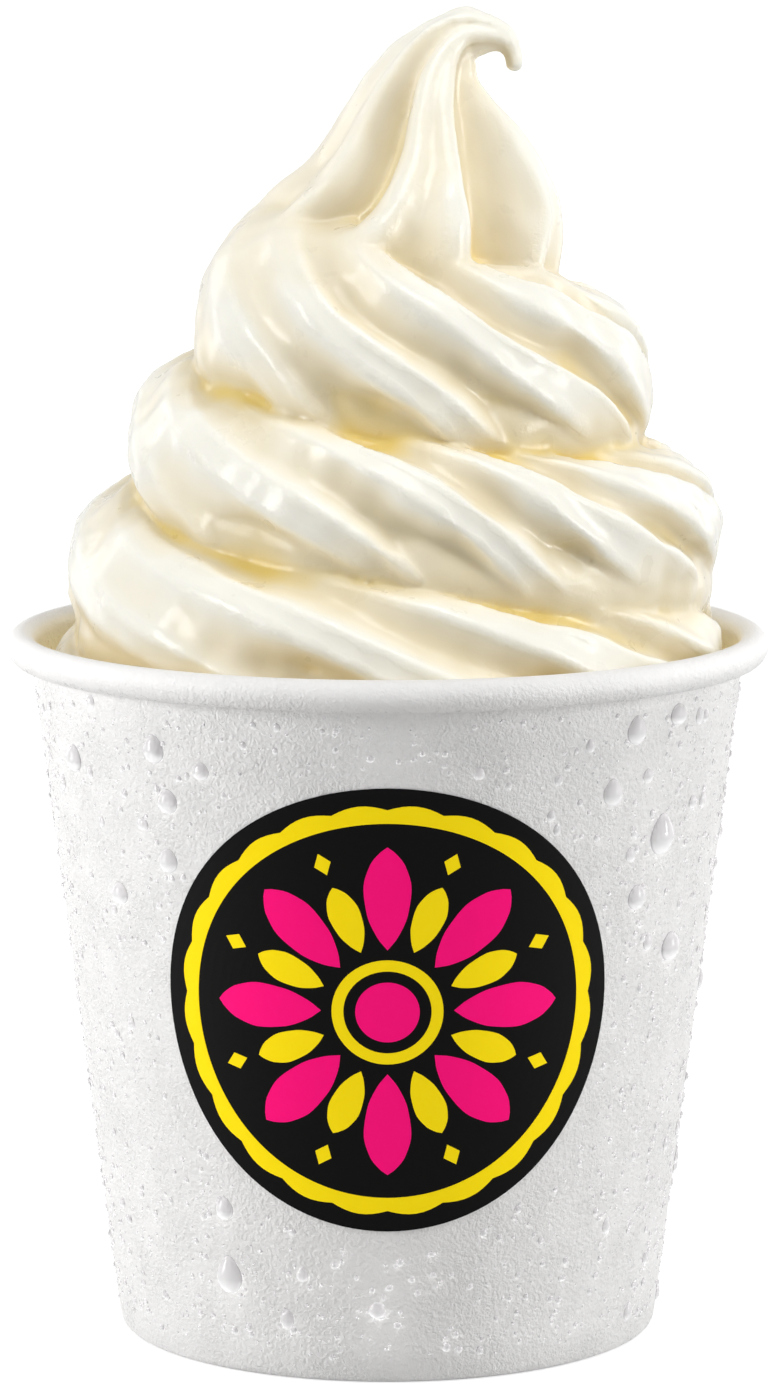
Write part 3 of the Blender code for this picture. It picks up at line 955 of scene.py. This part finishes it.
half = BOARD / 2
rim_centre = (RIM_RADIUS - ROLL_HALF_WIDTH, ROLL_HEIGHT)
line = arc(
    rim_centre, ROLL_HALF_WIDTH - half, ROLL_HALF_HEIGHT - half, ROLL_FROM, ROLL_TO, ROLL_POINTS
)
line += [(wall_radius(z) - half, z) for z in np.linspace(*STRAIGHT_HEIGHTS, 24)]
fold_centre = (wall_radius(0.0) - half - FOLD_WIDTH / 2, half + FOLD_HEIGHT)
line += arc(fold_centre, FOLD_WIDTH / 2, FOLD_HEIGHT, 0, -180, 9)
line += [(wall_radius(z) - half - FOLD_WIDTH, z) for z in np.linspace(2.0 * MM, FOLD_TOP, 4)]
wall = turned("cup_wall", line, CUP_SEGMENTS)
board = wall.modifiers.new("board", "SOLIDIFY")
board.thickness = BOARD
board.offset = 0.0
cup_mesh = joined("cup_wall", [applied(wall)])
cup_mesh.shade_smooth()
cup_wall = bpy.data.objects.new("cup_wall", cup_mesh)
bpy.context.scene.collection.objects.link(cup_wall)
print("height of the rim in mm:", round((ROLL_HEIGHT + ROLL_HALF_HEIGHT) / MM, 1))

# %% [markdown]
# ## Laying things on the cone
#
# The seam, the label, its print and the water all lie on a slanted round wall. One function does
# it for all of them: it takes a place in degrees round from the front, a height, and how far the
# point stands off the wall, and gives the point in space.

# %% Points on the wall
TILT = math.atan(WALL_SLOPE)


def on_wall(azimuth, height, out):
    """Points at an azimuth from the front to the right, a height, and a distance off the wall."""
    radius = wall_radius(height) + out * math.cos(TILT)
    height = height - out * math.sin(TILT)
    x, y, z = np.broadcast_arrays(radius * np.sin(azimuth), -radius * np.cos(azimuth), height)
    return np.stack([x, y, z], axis=-1)


def sheet_object(name, grids, thickness):
    """One object of thin solid sheets, from grids of points; the thickness goes inward."""
    points, faces, start = [], [], 0
    for grid in grids:
        facing = np.cross(np.diff(grid, axis=1)[:-1], np.diff(grid, axis=0)[:, :-1])
        if (facing[..., :2] * grid[:-1, :-1, :2]).sum() < 0:
            grid = grid[:, ::-1]
        rows, columns = grid.shape[:2]
        here = start + np.arange(rows - 1)[:, None] * columns + np.arange(columns - 1)[None, :]
        corners = (here, here + 1, here + columns + 1, here + columns)
        faces += np.stack(corners, axis=-1).reshape(-1, 4).tolist()
        points.append(grid.reshape(-1, 3))
        start += rows * columns
    mesh = bpy.data.meshes.new(name)
    mesh.from_pydata(np.concatenate(points).tolist(), [], faces)
    obj = bpy.data.objects.new(name, mesh)
    weld = obj.modifiers.new("weld", "WELD")
    weld.merge_threshold = 0.002 * MM
    sheet = obj.modifiers.new("sheet", "SOLIDIFY")
    sheet.thickness = thickness
    sheet.offset = -1.0
    obj = bpy.data.objects.new(name, joined(name, [applied(obj)]))
    obj.data.name = name
    bpy.context.scene.collection.objects.link(obj)
    return obj


SEAM_WIDTH = 8.0 * MM
SEAM_MIDDLE = 40.0 * MM
SEAM_PROUD = 0.40 * MM
SEAM_SUNK = 0.02 * MM
SEAM_END_GAP = 0.3 * MM
seam_half = SEAM_WIDTH / 2 / wall_radius(SEAM_MIDDLE)
seam_azimuth = math.pi + np.linspace(-seam_half, seam_half, 9)
seam_height = np.linspace(SEAM_END_GAP, ROLL_HEIGHT - ROLL_HALF_HEIGHT - SEAM_END_GAP, 40)
seam = on_wall(seam_azimuth[None, :], seam_height[:, None], SEAM_PROUD)
cup_seam = sheet_object("cup_seam", [seam], SEAM_PROUD + SEAM_SUNK)
print("seam faces:", len(cup_seam.data.polygons))

# %% [markdown]
# ## Coated board
#
# Cup board is white and has a thin plastic coat, so it is satin rather than matt. The cold board is
# covered with frost: specks of frozen mist less than a millimetre wide, thick in one place and
# thin in the next. The specks are drawn by bump mapping, as they are far lower than anything that
# shows in the outline. The larger beads and drops further down are real geometry. First comes the
# colour, which is plain white but for the warm light inside the rim.

# %% Cup board material
BOARD_WHITE = "F7F6F5"
# Light comes through the cream and falls on the board inside the rim.
CREAM_GLOW = "F6E3A6"
GLOW_HEIGHTS = (77.0 * MM, 83.5 * MM)
GLOW = 0.25

paper, tree, shader = new_material("coated_cup_board_frosted", IOR=1.50)
place = add(tree, "TexCoord").outputs["Object"]
height = add(tree, "SeparateXYZ", {0: place}).outputs["Z"]
radius = add(tree, "VectorMath", {0: place, 1: (1.0, 1.0, 0.0)}, operation="MULTIPLY").outputs[0]
radius = add(tree, "VectorMath", {0: radius}, operation="LENGTH").outputs["Value"]
foot = add(tree, "Math", {0: height, 1: -WALL_SLOPE, 2: radius}, operation="MULTIPLY_ADD")
levels = {"Value": foot.outputs[0], "From Min": FOOT_RADIUS - 0.5 * BOARD}
levels["From Max"] = FOOT_RADIUS - 0.9 * BOARD
inner = add(tree, "MapRange", levels).outputs["Result"]
levels = {"Value": height, "From Min": GLOW_HEIGHTS[1], "From Max": GLOW_HEIGHTS[0]}
near_cream = add(tree, "MapRange", levels).outputs["Result"]
inner = add(tree, "Math", {0: inner, 1: near_cream}, operation="MULTIPLY").outputs[0]
above_fold = add(tree, "Math", {0: height, 1: FOLD_TOP + BOARD}, operation="GREATER_THAN")
inner = add(tree, "Math", {0: inner, 1: above_fold.outputs[0]}, operation="MULTIPLY").outputs[0]
tint = {FACTOR: inner, FIRST: linear(BOARD_WHITE), SECOND: linear(CREAM_GLOW)}
tint = add(tree, "Mix", tint, data_type="RGBA").outputs[MIXED]
tree.links.new(tint, shader.inputs["Base Color"])
shader.inputs["Emission Color"].default_value = linear(CREAM_GLOW)
glow = add(tree, "Math", {0: inner, 1: GLOW}, operation="MULTIPLY").outputs[0]
tree.links.new(glow, shader.inputs["Emission Strength"])
print("board inside the rim glows by:", GLOW)

# %% [markdown]
# ## Frost
#
# Frost grows as cells round tiny seeds, which a Voronoi pattern draws well, and as crumbs, which
# come from a rough noise. The cells are bent out of shape by a third noise, or they would look
# like tiles. All of it is thinner in some patches and on the rim. Where frost stands high it is
# wet, and so it is smoother than the bare board.

# %% Frost on the board
FROST_SIZE = 0.42 * MM
FROST_HEIGHT = 0.12 * MM
FROST_CELL = 0.75
CELL_SHARE = 0.5
BEND_SIZE = 0.7 * MM
BEND = 1.1 * MM
CRUMB_SIZE = 0.55 * MM
CRUMB_NOISE = (0.40, 0.68)
FROST_PATCH = 6.0 * MM
PATCH_NOISE = (0.35, 0.62)
PATCH_THIN = 0.72
RIM_FROST = (80.2 * MM, 82.6 * MM)
RIM_THIN = 0.45
FROST_WET = (0.3, 1.0)
BOARD_ROUGHNESS = (0.48, 0.16)

warp = {"Vector": place, "Scale": 1 / BEND_SIZE, "Detail": 2.0}
warp = add(tree, "TexNoise", warp).outputs["Color"]
warp = add(tree, "VectorMath", {0: warp, 1: [0.5] * 3}, operation="SUBTRACT").outputs[0]
warp = add(tree, "VectorMath", {0: warp, "Scale": BEND}, operation="SCALE").outputs[0]
bent = add(tree, "VectorMath", {0: place, 1: warp}, operation="ADD").outputs[0]
crystals = add(tree, "TexVoronoi", {"Vector": bent, "Scale": 1 / FROST_SIZE})
grain = {"Value": crystals.outputs["Distance"], "From Max": FROST_CELL, "To Min": 1.0, "To Max": 0.0}
grain = add(tree, "MapRange", grain).outputs["Result"]
crumbs = {"Vector": place, "Scale": 1 / CRUMB_SIZE, "Detail": 5.0, "Roughness": 0.65}
crumbs = add(tree, "TexNoise", crumbs).outputs["Fac"]
crumbs = {"Value": crumbs, "From Min": CRUMB_NOISE[0], "From Max": CRUMB_NOISE[1]}
crumbs = add(tree, "MapRange", crumbs).outputs["Result"]
grain = {0: grain, 1: CELL_SHARE, 2: crumbs}
grain = add(tree, "Math", grain, operation="MULTIPLY_ADD").outputs[0]
patch = add(tree, "TexNoise", {"Vector": place, "Scale": 1 / FROST_PATCH, "Detail": 2.0})
levels = {"Value": patch.outputs["Fac"], "From Min": PATCH_NOISE[0], "From Max": PATCH_NOISE[1]}
levels["To Min"] = PATCH_THIN
thick = add(tree, "MapRange", levels).outputs["Result"]
levels = {"Value": height, "From Min": RIM_FROST[0], "From Max": RIM_FROST[1]}
levels.update({"To Min": 1.0, "To Max": RIM_THIN})
thin = add(tree, "MapRange", levels).outputs["Result"]
thick = add(tree, "Math", {0: thick, 1: thin}, operation="MULTIPLY").outputs[0]
frost = add(tree, "Math", {0: grain, 1: thick}, operation="MULTIPLY").outputs[0]
bump = add(tree, "Bump", {"Height": frost, "Strength": 1.0, "Distance": FROST_HEIGHT})
tree.links.new(bump.outputs["Normal"], shader.inputs["Normal"])
levels = {"Value": frost, "From Min": FROST_WET[0], "From Max": FROST_WET[1]}
levels.update({"To Min": BOARD_ROUGHNESS[0], "To Max": BOARD_ROUGHNESS[1]})
wet = add(tree, "MapRange", levels)
tree.links.new(wet.outputs["Result"], shader.inputs["Roughness"])

for piece in (cup_wall, cup_seam):
    piece.data.materials.append(paper)
    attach(piece, "root")
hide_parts("cup_sidewall")
print("frosted pieces:", cup_wall.name, cup_seam.name)

# %% [markdown]
# ## The base's board
#
# The base is a dry disc under the cup, and the plain model's own piece shows it well enough. Its
# board has no coat on this side: it is matt, and its fibres make the white a little uneven.

# %% Base board material
BASE_WHITES = ("ECEAE7", "F6F4F1")
BASE_FIBRE = 1.2 * MM

base_board, tree, shader = new_material("plain_base_board", IOR=1.50, Roughness=0.55)
place = add(tree, "TexCoord").outputs["Object"]
fibres = add(tree, "TexNoise", {"Vector": place, "Scale": 1 / BASE_FIBRE, "Detail": 3.0})
tint = {FACTOR: fibres.outputs["Fac"], FIRST: linear(BASE_WHITES[0]), SECOND: linear(BASE_WHITES[1])}
mix = add(tree, "Mix", tint, data_type="RGBA")
tree.links.new(mix.outputs[MIXED], shader.inputs["Base Color"])
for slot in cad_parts["cup_base"].material_slots:
    slot.material = base_board
print("cup materials:", paper.name, base_board.name)

# %% [markdown]
# ## The label
#
# The round label is a thin black paper stuck on the wall. A flat disc can be wrapped round a cone
# without any stretching, so its points are found by unrolling the cone: a place on the flat paper
# has a distance and a direction from the cone's tip, and both stay the same when it is rolled up.

# %% Label
LABEL_HEIGHT = 44.8 * MM
LABEL_HALF_WIDTH = 27.0 * MM
LABEL_HALF_HEIGHT = 26.4 * MM
LABEL_THICKNESS = 0.12 * MM
LABEL_OFF = 0.03 * MM
INK_PROUD = 0.03 * MM
# From the cone's tip down the wall to the label's middle.
LABEL_FROM_TIP = wall_radius(LABEL_HEIGHT) / math.sin(TILT)


def on_label(flat, out):
    """Points (across, up) of the flat label, given as shares of its half sizes, laid on the cone."""
    across = flat[..., 0] * LABEL_HALF_WIDTH
    up = flat[..., 1] * LABEL_HALF_HEIGHT
    from_tip = LABEL_FROM_TIP + up
    slant = np.hypot(from_tip, across)
    azimuth = np.arctan2(across, from_tip) / math.sin(TILT)
    rise = (slant - LABEL_FROM_TIP) * math.cos(TILT)
    return on_wall(azimuth, LABEL_HEIGHT + rise, out)


def round_strip(inner, outer, count, columns):
    """A flat ring between two radii, which may change with the angle."""
    angle = np.linspace(0, TURN, count + 1)
    across = np.linspace(0, 1, columns)[None, :]
    low = np.broadcast_to(inner, angle.shape)[:, None]
    high = np.broadcast_to(outer, angle.shape)[:, None]
    reach = low + (high - low) * across
    return np.stack([reach * np.sin(angle)[:, None], reach * np.cos(angle)[:, None]], axis=-1)


label_grid = on_label(round_strip(0.0, 1.0, 128, 24), LABEL_OFF + LABEL_THICKNESS)
label = sheet_object("label_paper", [label_grid], LABEL_THICKNESS)
print("label faces:", len(label.data.polygons))

# %% [markdown]
# ## A plain ornament for the label
#
# The label carries a rosette of plain shapes in two loud colours: rings, petals and diamonds, all
# made by the same two helpers. A petal is a strip along a line from the middle, and a table of
# half widths along the strip gives its outline. Print is far thinner than paper, so the inks are
# sheets that stand 0.03 mm proud of the label.

# %% Ornament
PETALS = 8
# Half widths along a petal: share of its length, share of its greatest half width.
PETAL_OUTLINE = (
    (0.0, 0.0),
    (0.12, 0.42),
    (0.35, 0.86),
    (0.6, 1.0),
    (0.82, 0.74),
    (0.95, 0.3),
    (1.0, 0.0),
)
DIAMOND_OUTLINE = ((0.0, 0.0), (0.25, 0.5), (0.5, 1.0), (0.75, 0.5), (1.0, 0.0))
# The rest is in shares of the label's half size: inner and outer radius of the rings, then start,
# end and width of the petals and diamonds.
OUTER_RING = (0.845, 0.905)
SCALLOPS = 24
SCALLOP_HEIGHT = 0.022
MIDDLE_RING = (0.185, 0.235)
MIDDLE_DOT = 0.135
PINK_PETAL = (0.28, 0.74, 0.20)
YELLOW_PETAL = (0.29, 0.60, 0.135)
YELLOW_DIAMOND = (0.66, 0.76, 0.075)


def spoke(direction, start, end, width, outline, rows=25, columns=7):
    """A flat shape along a line out from the middle; outline is a table of (along, half width)."""
    along, wide = np.transpose(outline)
    share = np.linspace(0, 1, rows)
    half_width = width / 2 * np.interp(share, along, wide)
    side = np.linspace(-1, 1, columns)[None, :] * half_width[:, None]
    out = np.broadcast_to((start + (end - start) * share)[:, None], side.shape)
    sine, cosine = math.sin(direction), math.cos(direction)
    return np.stack([out * sine + side * cosine, out * cosine - side * sine], axis=-1)


def rounded(outline, count=25):
    """The outline's table with a smooth curve through it."""
    share = np.linspace(0, 1, count)
    return np.column_stack([share, smooth_table(share, *np.transpose(outline))])


petal_outline = rounded(PETAL_OUTLINE)
around = np.linspace(0, TURN, 193)
scallops = OUTER_RING[1] + SCALLOP_HEIGHT * np.abs(np.sin(SCALLOPS / 2 * around))
yellow = [round_strip(OUTER_RING[0], scallops, 192, 4), round_strip(*MIDDLE_RING, 64, 3)]
pink = [round_strip(0.0, MIDDLE_DOT, 48, 5)]
for number in range(PETALS):
    direction = TURN * number / PETALS
    between = direction + TURN / PETALS / 2
    yellow.append(spoke(between, *YELLOW_PETAL, petal_outline))
    pink.append(spoke(direction, *PINK_PETAL, petal_outline))
    yellow.append(spoke(between, *YELLOW_DIAMOND, DIAMOND_OUTLINE))
ink_out = LABEL_OFF + LABEL_THICKNESS + INK_PROUD
inks = []
for name, flats in (("label_ink_yellow", yellow), ("label_ink_pink", pink)):
    grids = [on_label(flat, ink_out) for flat in flats]
    inks.append(sheet_object(name, grids, INK_PROUD * 1.5))
print("ink faces:", [len(ink.data.polygons) for ink in inks])

# %% [markdown]
# ## Label paper and inks
#
# Printed label stock is smooth and satin. Black shows every reflection, so its roughness is broken
# up a little, as real varnish is. The inks are flat, strong colours with the same satin sheen. Loud
# inks are often fluorescent: they turn some of the blue light into yellow or pink, and a faint
# glow stands in for that.

# %% Label materials
FIBRE = 0.5 * MM
VARNISH_PATCH = 3.0 * MM
VARNISH_UNEVEN = 0.05
LOUD = 0.14


def satin_print(name, hex_colour, other, roughness, loud=0.0):
    """Printed paper: two close colours mixed by fine fibres, and a slightly uneven varnish."""
    material, tree, shader = new_material(name, IOR=1.50, Specular_IOR_Level=0.08)
    place = add(tree, "TexCoord").outputs["Object"]
    fibre = add(tree, "TexNoise", {"Vector": place, "Scale": 1 / FIBRE, "Detail": 3.0})
    tint = {FACTOR: fibre.outputs["Fac"], FIRST: linear(hex_colour), SECOND: linear(other)}
    mix = add(tree, "Mix", tint, data_type="RGBA")
    tree.links.new(mix.outputs[MIXED], shader.inputs["Base Color"])
    varnish = {"Vector": place, "Scale": 1 / VARNISH_PATCH, "Detail": 2.0}
    levels = {"Value": add(tree, "TexNoise", varnish).outputs["Fac"]}
    levels.update({"To Min": roughness - VARNISH_UNEVEN, "To Max": roughness + VARNISH_UNEVEN})
    levels = add(tree, "MapRange", levels)
    tree.links.new(levels.outputs["Result"], shader.inputs["Roughness"])
    shader.inputs["Emission Color"].default_value = linear(hex_colour)
    shader.inputs["Emission Strength"].default_value = loud
    return material


black = satin_print("black_label_stock", "030303", "060606", 0.50)
label.data.materials.append(black)
inks[0].data.materials.append(satin_print("yellow_print_ink", "FFE005", "FFE41A", 0.40, LOUD))
inks[1].data.materials.append(satin_print("pink_print_ink", "FF0A78", "FF1580", 0.40, LOUD))
for piece in (label, *inks):
    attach(piece, "root")
    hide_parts("label")
print("print:", [piece.name for piece in (label, *inks)])

# %% [markdown]
# ## Water on the cup
#
# Cold board draws water out of the air. It gathers as beads, and where beads meet they run together
# into drops, which sag into the shape of a pear before they run down. Every bead is a small dome:
# rings of points that rise from the wall, closed at the back, and sunk a little so that no gap
# shows. Thousands of them are made at once, as arrays with one row for each.

# %% A dome of water
DROP_SUNK = 0.06 * MM
TAIL_FROM = (-0.2, 1.0)
TAIL_RISE = 0.35


def domes(azimuth, height, wide, long, rise, tail, segments, rings):
    """Closed domes on the wall as one list of points and faces; tail draws the top to a point."""
    count = len(azimuth)
    turn = np.linspace(0, TURN, segments, endpoint=False)
    level = np.linspace(0, math.pi / 2, rings + 1)[:-1]
    across = np.cos(level)[:, None] * np.sin(turn)[None, :]
    up = np.cos(level)[:, None] * np.cos(turn)[None, :]
    out = np.broadcast_to(np.sin(level)[:, None], across.shape)
    across, up, out = (np.append(v.ravel(), last) for v, last in ((across, 0), (up, 0), (out, 1)))
    narrow = 1 - tail[:, None] * smoothstep(up, *TAIL_FROM)[None, :]
    side = wide[:, None] / 2 * across[None, :] * narrow
    rest = long[:, None] / 2 * up[None, :]
    off = rise[:, None] * out[None, :] * (TAIL_RISE + (1 - TAIL_RISE) * narrow) - DROP_SUNK
    on_seam = np.abs(np.abs(azimuth) - math.pi) < seam_half
    off = off + SEAM_PROUD * on_seam[:, None]
    heights = height[:, None] + rest * math.cos(TILT)
    points = on_wall(azimuth[:, None] + side / wall_radius(heights), heights, off)
    ring = np.arange(segments)
    beside = (ring + 1) % segments
    quads = []
    for low in segments * np.arange(rings - 1):
        high = low + segments
        quads.append(np.stack([ring + low, beside + low, beside + high, ring + high], axis=-1))
    faces = np.concatenate(quads).tolist()
    last = (rings - 1) * segments
    faces += [[last + a, last + b, rings * segments] for a, b in zip(ring, beside)]
    faces.append(ring[::-1].tolist())
    each = rings * segments + 1
    every = [[int(corner) + each * n for corner in face] for n in range(count) for face in faces]
    return points.reshape(-1, 3), every


print("water is sunk into the board by mm:", round(DROP_SUNK / MM, 2))

# %% [markdown]
# ## Where the water sits
#
# Beads sit anywhere on the wall below the rim. Their places are random but repeatable, most of
# them are small, and none lies on the label, which is dry.

# %% Scattered places
WET_HEIGHTS = (3.0 * MM, 78.5 * MM)
# The label's half width with some room round it, and the sideways share where it surely ends.
LABEL_CLEAR = 1.04
LABEL_SIDE = 1.2


def off_label(azimuth, height, room):
    """True where a drop of that size keeps clear of the label."""
    across = wall_radius(height) * np.sin(azimuth) / LABEL_HALF_WIDTH
    flat = np.hypot(azimuth * wall_radius(height), height - LABEL_HEIGHT)
    return (np.abs(across) > LABEL_SIDE) | (flat > LABEL_CLEAR * LABEL_HALF_WIDTH + room)


def scattered(number, radii, seed, power):
    """Random azimuths, heights and radii over the wall, more of them small, off the label."""
    draw = np.random.default_rng(seed)
    azimuth = draw.uniform(-math.pi, math.pi, number)
    height = draw.uniform(*WET_HEIGHTS, number)
    radius = radii[0] + (radii[1] - radii[0]) * draw.random(number) ** power
    keep = off_label(azimuth, height, radius)
    return azimuth[keep], height[keep], radius[keep], draw


print("wet heights in mm:", [round(height / MM, 1) for height in WET_HEIGHTS])

# %% [markdown]
# ## Beads and drops
#
# There are two kinds of piece: thousands of beads under a millimetre wide, and the drops, some of
# them scattered and the largest listed one by one where they catch the light beside the label.

# %% Beads and drops
BEADS = 4900
BEAD_RADII = (0.16 * MM, 0.50 * MM)
DROPS = 190
DROP_RADII = (0.45 * MM, 1.0 * MM)
LARGE_RISE = 0.36
# Columns round a dome and rings up it.
BEAD_GRID = (8, 3)
DROP_GRID = (16, 5)
LARGE_GRID = (28, 9)
# Large drops: azimuth in degrees, height, width and length in millimetres.
LARGE_DROPS = (
    (-40, 74, 3.0, 3.4),
    (-31, 72, 2.2, 2.2),
    (-38, 68, 2.8, 2.9),
    (-39, 61, 2.7, 2.9),
    (-52, 56, 2.8, 2.7),
    (-62, 71, 3.0, 3.2),
    (43, 76, 2.9, 3.5),
    (53, 77, 2.8, 2.6),
    (39, 69, 2.8, 3.3),
    (52, 63, 4.0, 5.0),
    (47, 56, 2.8, 3.0),
    (59, 49, 3.5, 3.5),
    (-33, 12, 3.4, 4.6),
    (-33, 20, 2.4, 2.8),
    (-17, 13, 1.5, 1.9),
    (-2, 9, 2.0, 2.1),
)


def water_object(name, parts):
    """One object of several lists of domes."""
    points, faces, start = [], [], 0
    for part_points, part_faces in parts:
        points.append(part_points)
        faces += [[corner + start for corner in face] for face in part_faces]
        start += len(part_points)
    mesh = bpy.data.meshes.new(name)
    mesh.from_pydata(np.concatenate(points).tolist(), [], faces)
    obj = bpy.data.objects.new(name, joined(name, [mesh]))
    obj.data.shade_smooth()
    bpy.context.scene.collection.objects.link(obj)
    return obj


azimuth, height, radius, draw = scattered(BEADS, BEAD_RADII, 11, 2.6)
oval = draw.uniform(0.85, 1.25, len(radius))
rise = radius * draw.uniform(0.45, 0.75, len(radius)) + DROP_SUNK
none = np.zeros(len(radius))
beads = domes(azimuth, height, 2 * radius, 2 * radius * oval, rise, none, *BEAD_GRID)
water_beads = water_object("water_beads", [beads])

azimuth, height, radius, draw = scattered(DROPS, DROP_RADII, 23, 1.8)
oval = draw.uniform(0.95, 1.5, len(radius))
rise = radius * draw.uniform(0.5, 0.7, len(radius)) + DROP_SUNK
tail = draw.uniform(0.0, 0.30, len(radius))
small = domes(azimuth, height, 2 * radius, 2 * radius * oval, rise, tail, *DROP_GRID)
azimuth, height, wide, long = np.transpose(LARGE_DROPS)
tail = np.clip(0.12 + 0.6 * (long / wide - 1.0), 0.08, 0.30)
rise = LARGE_RISE * wide * MM
large = domes(np.radians(azimuth), height * MM, wide * MM, long * MM, rise, tail, *LARGE_GRID)
water_drops = water_object("water_drops", [small, large])
print("beads and drops, faces:", len(water_beads.data.polygons), len(water_drops.data.polygons))

# %% [markdown]
# ## Water
#
# Water is clear and bends light by an index of 1.333. A drop on white board works as a small lens: a
# bright point where the lamp is mirrored, a soft shade on the side towards the lamp, and a bright
# patch on the far side where the lens gathers the light. The mirrored lamp is a real reflection, and
# the light that the drop lets through to the board changes with its facing. The shade on the upper
# side, a darker edge and the bright lower patch are also painted into the drop's colour, with a
# faint painted glow below.

# %% Water material
# Painted shade on the drop's upper side, painted light on its lower side, a painted dark edge, and a
# painted glow low down.
UPPER_PAINTED_SHADE = "DAD8D9"
LOWER_PAINTED_LIGHT = "FFFFFF"
EDGE_PAINTED_SHADE = "B2B0B3"
LOWER_PAINTED_GLOW = 0.22
# How much light a drop lets fall on the board: more where its lens gathers it, less elsewhere.
GATHERED_BELOW = 1.45
LOST_ABOVE = 0.80
# Each change is between two values of how much the surface faces up, or out from the wall.
GATHER_FACING = (-0.6, 0.45)
PAINTED_SHADE_FACING = (-0.55, 0.45)
GLOW_FACING = (-0.15, -0.60)
EDGE_FACING = (0.05, 0.40)

water, tree, shader = new_material(
    "clear_water", Roughness=0.03, IOR=1.333, Transmission_Weight=0.40
)
lamp_ray = add(tree, "LightPath").outputs["Is Shadow Ray"]
facing = add(tree, "TexCoord").outputs["Normal"]
facing = add(tree, "SeparateXYZ", {0: facing}).outputs["Z"]
levels = {"Value": facing, "From Min": GATHER_FACING[0], "From Max": GATHER_FACING[1]}
levels.update({"To Min": GATHERED_BELOW, "To Max": LOST_ABOVE})
passed = add(tree, "MapRange", levels).outputs["Result"]
through = add(tree, "BsdfTransparent", {"Color": passed})
both = add(tree, "MixShader", {0: lamp_ray, 1: shader.outputs[0], 2: through.outputs[0]})
tree.links.new(both.outputs[0], tree.nodes["Material Output"].inputs["Surface"])
# Painted shade: the drop's colour is darker where it faces up, white where it faces down.
levels = {"Value": facing, "From Min": PAINTED_SHADE_FACING[0], "From Max": PAINTED_SHADE_FACING[1]}
upper = add(tree, "MapRange", levels).outputs["Result"]
tint = {FACTOR: upper, FIRST: linear(LOWER_PAINTED_LIGHT), SECOND: linear(UPPER_PAINTED_SHADE)}
mix = add(tree, "Mix", tint, data_type="RGBA")
# Painted dark edge: darker where the drop's surface faces along the wall rather than out from it.
coordinates = add(tree, "TexCoord").outputs
flat = {0: coordinates["Object"], 1: (1.0, 1.0, 0.0)}
flat = add(tree, "VectorMath", flat, operation="MULTIPLY").outputs[0]
flat = add(tree, "VectorMath", {0: flat}, operation="NORMALIZE").outputs[0]
flat = add(tree, "VectorMath", {0: flat, 1: coordinates["Normal"]}, operation="DOT_PRODUCT")
levels = {"Value": flat.outputs["Value"], "From Min": EDGE_FACING[0], "From Max": EDGE_FACING[1]}
levels.update({"To Min": 1.0, "To Max": 0.0})
edge = add(tree, "MapRange", levels).outputs["Result"]
tint = {FACTOR: edge, FIRST: mix.outputs[MIXED], SECOND: linear(EDGE_PAINTED_SHADE)}
mix = add(tree, "Mix", tint, data_type="RGBA")
# Painted glow on the drop's lower side, where its lens would gather light.
levels = {"Value": facing, "From Min": GLOW_FACING[0], "From Max": GLOW_FACING[1]}
levels["To Max"] = LOWER_PAINTED_GLOW
glow = add(tree, "MapRange", levels).outputs["Result"]
tree.links.new(glow, shader.inputs["Emission Strength"])
tree.links.new(mix.outputs[MIXED], shader.inputs["Base Color"])
for piece in (water_beads, water_drops):
    piece.data.materials.append(water)
    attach(piece, "root")
print("water index of refraction: 1.333")

# %% [markdown]
# ## Black cards
#
# In a studio black cards stand between a lamp and the part of the set that it shouldn't reach. Here
# every light that falls on one part only has a list of the things it lights: one list holds the
# swirl, the other the cup with its label, its water and the table.

# %% What the side lights fall on
lit["food"].objects.link(soft_serve)
cup_pieces = [cup_wall, cup_seam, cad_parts["cup_base"], label, *inks, water_beads, water_drops]
for piece in [*cup_pieces, table]:
    lit["cup"].objects.link(piece)
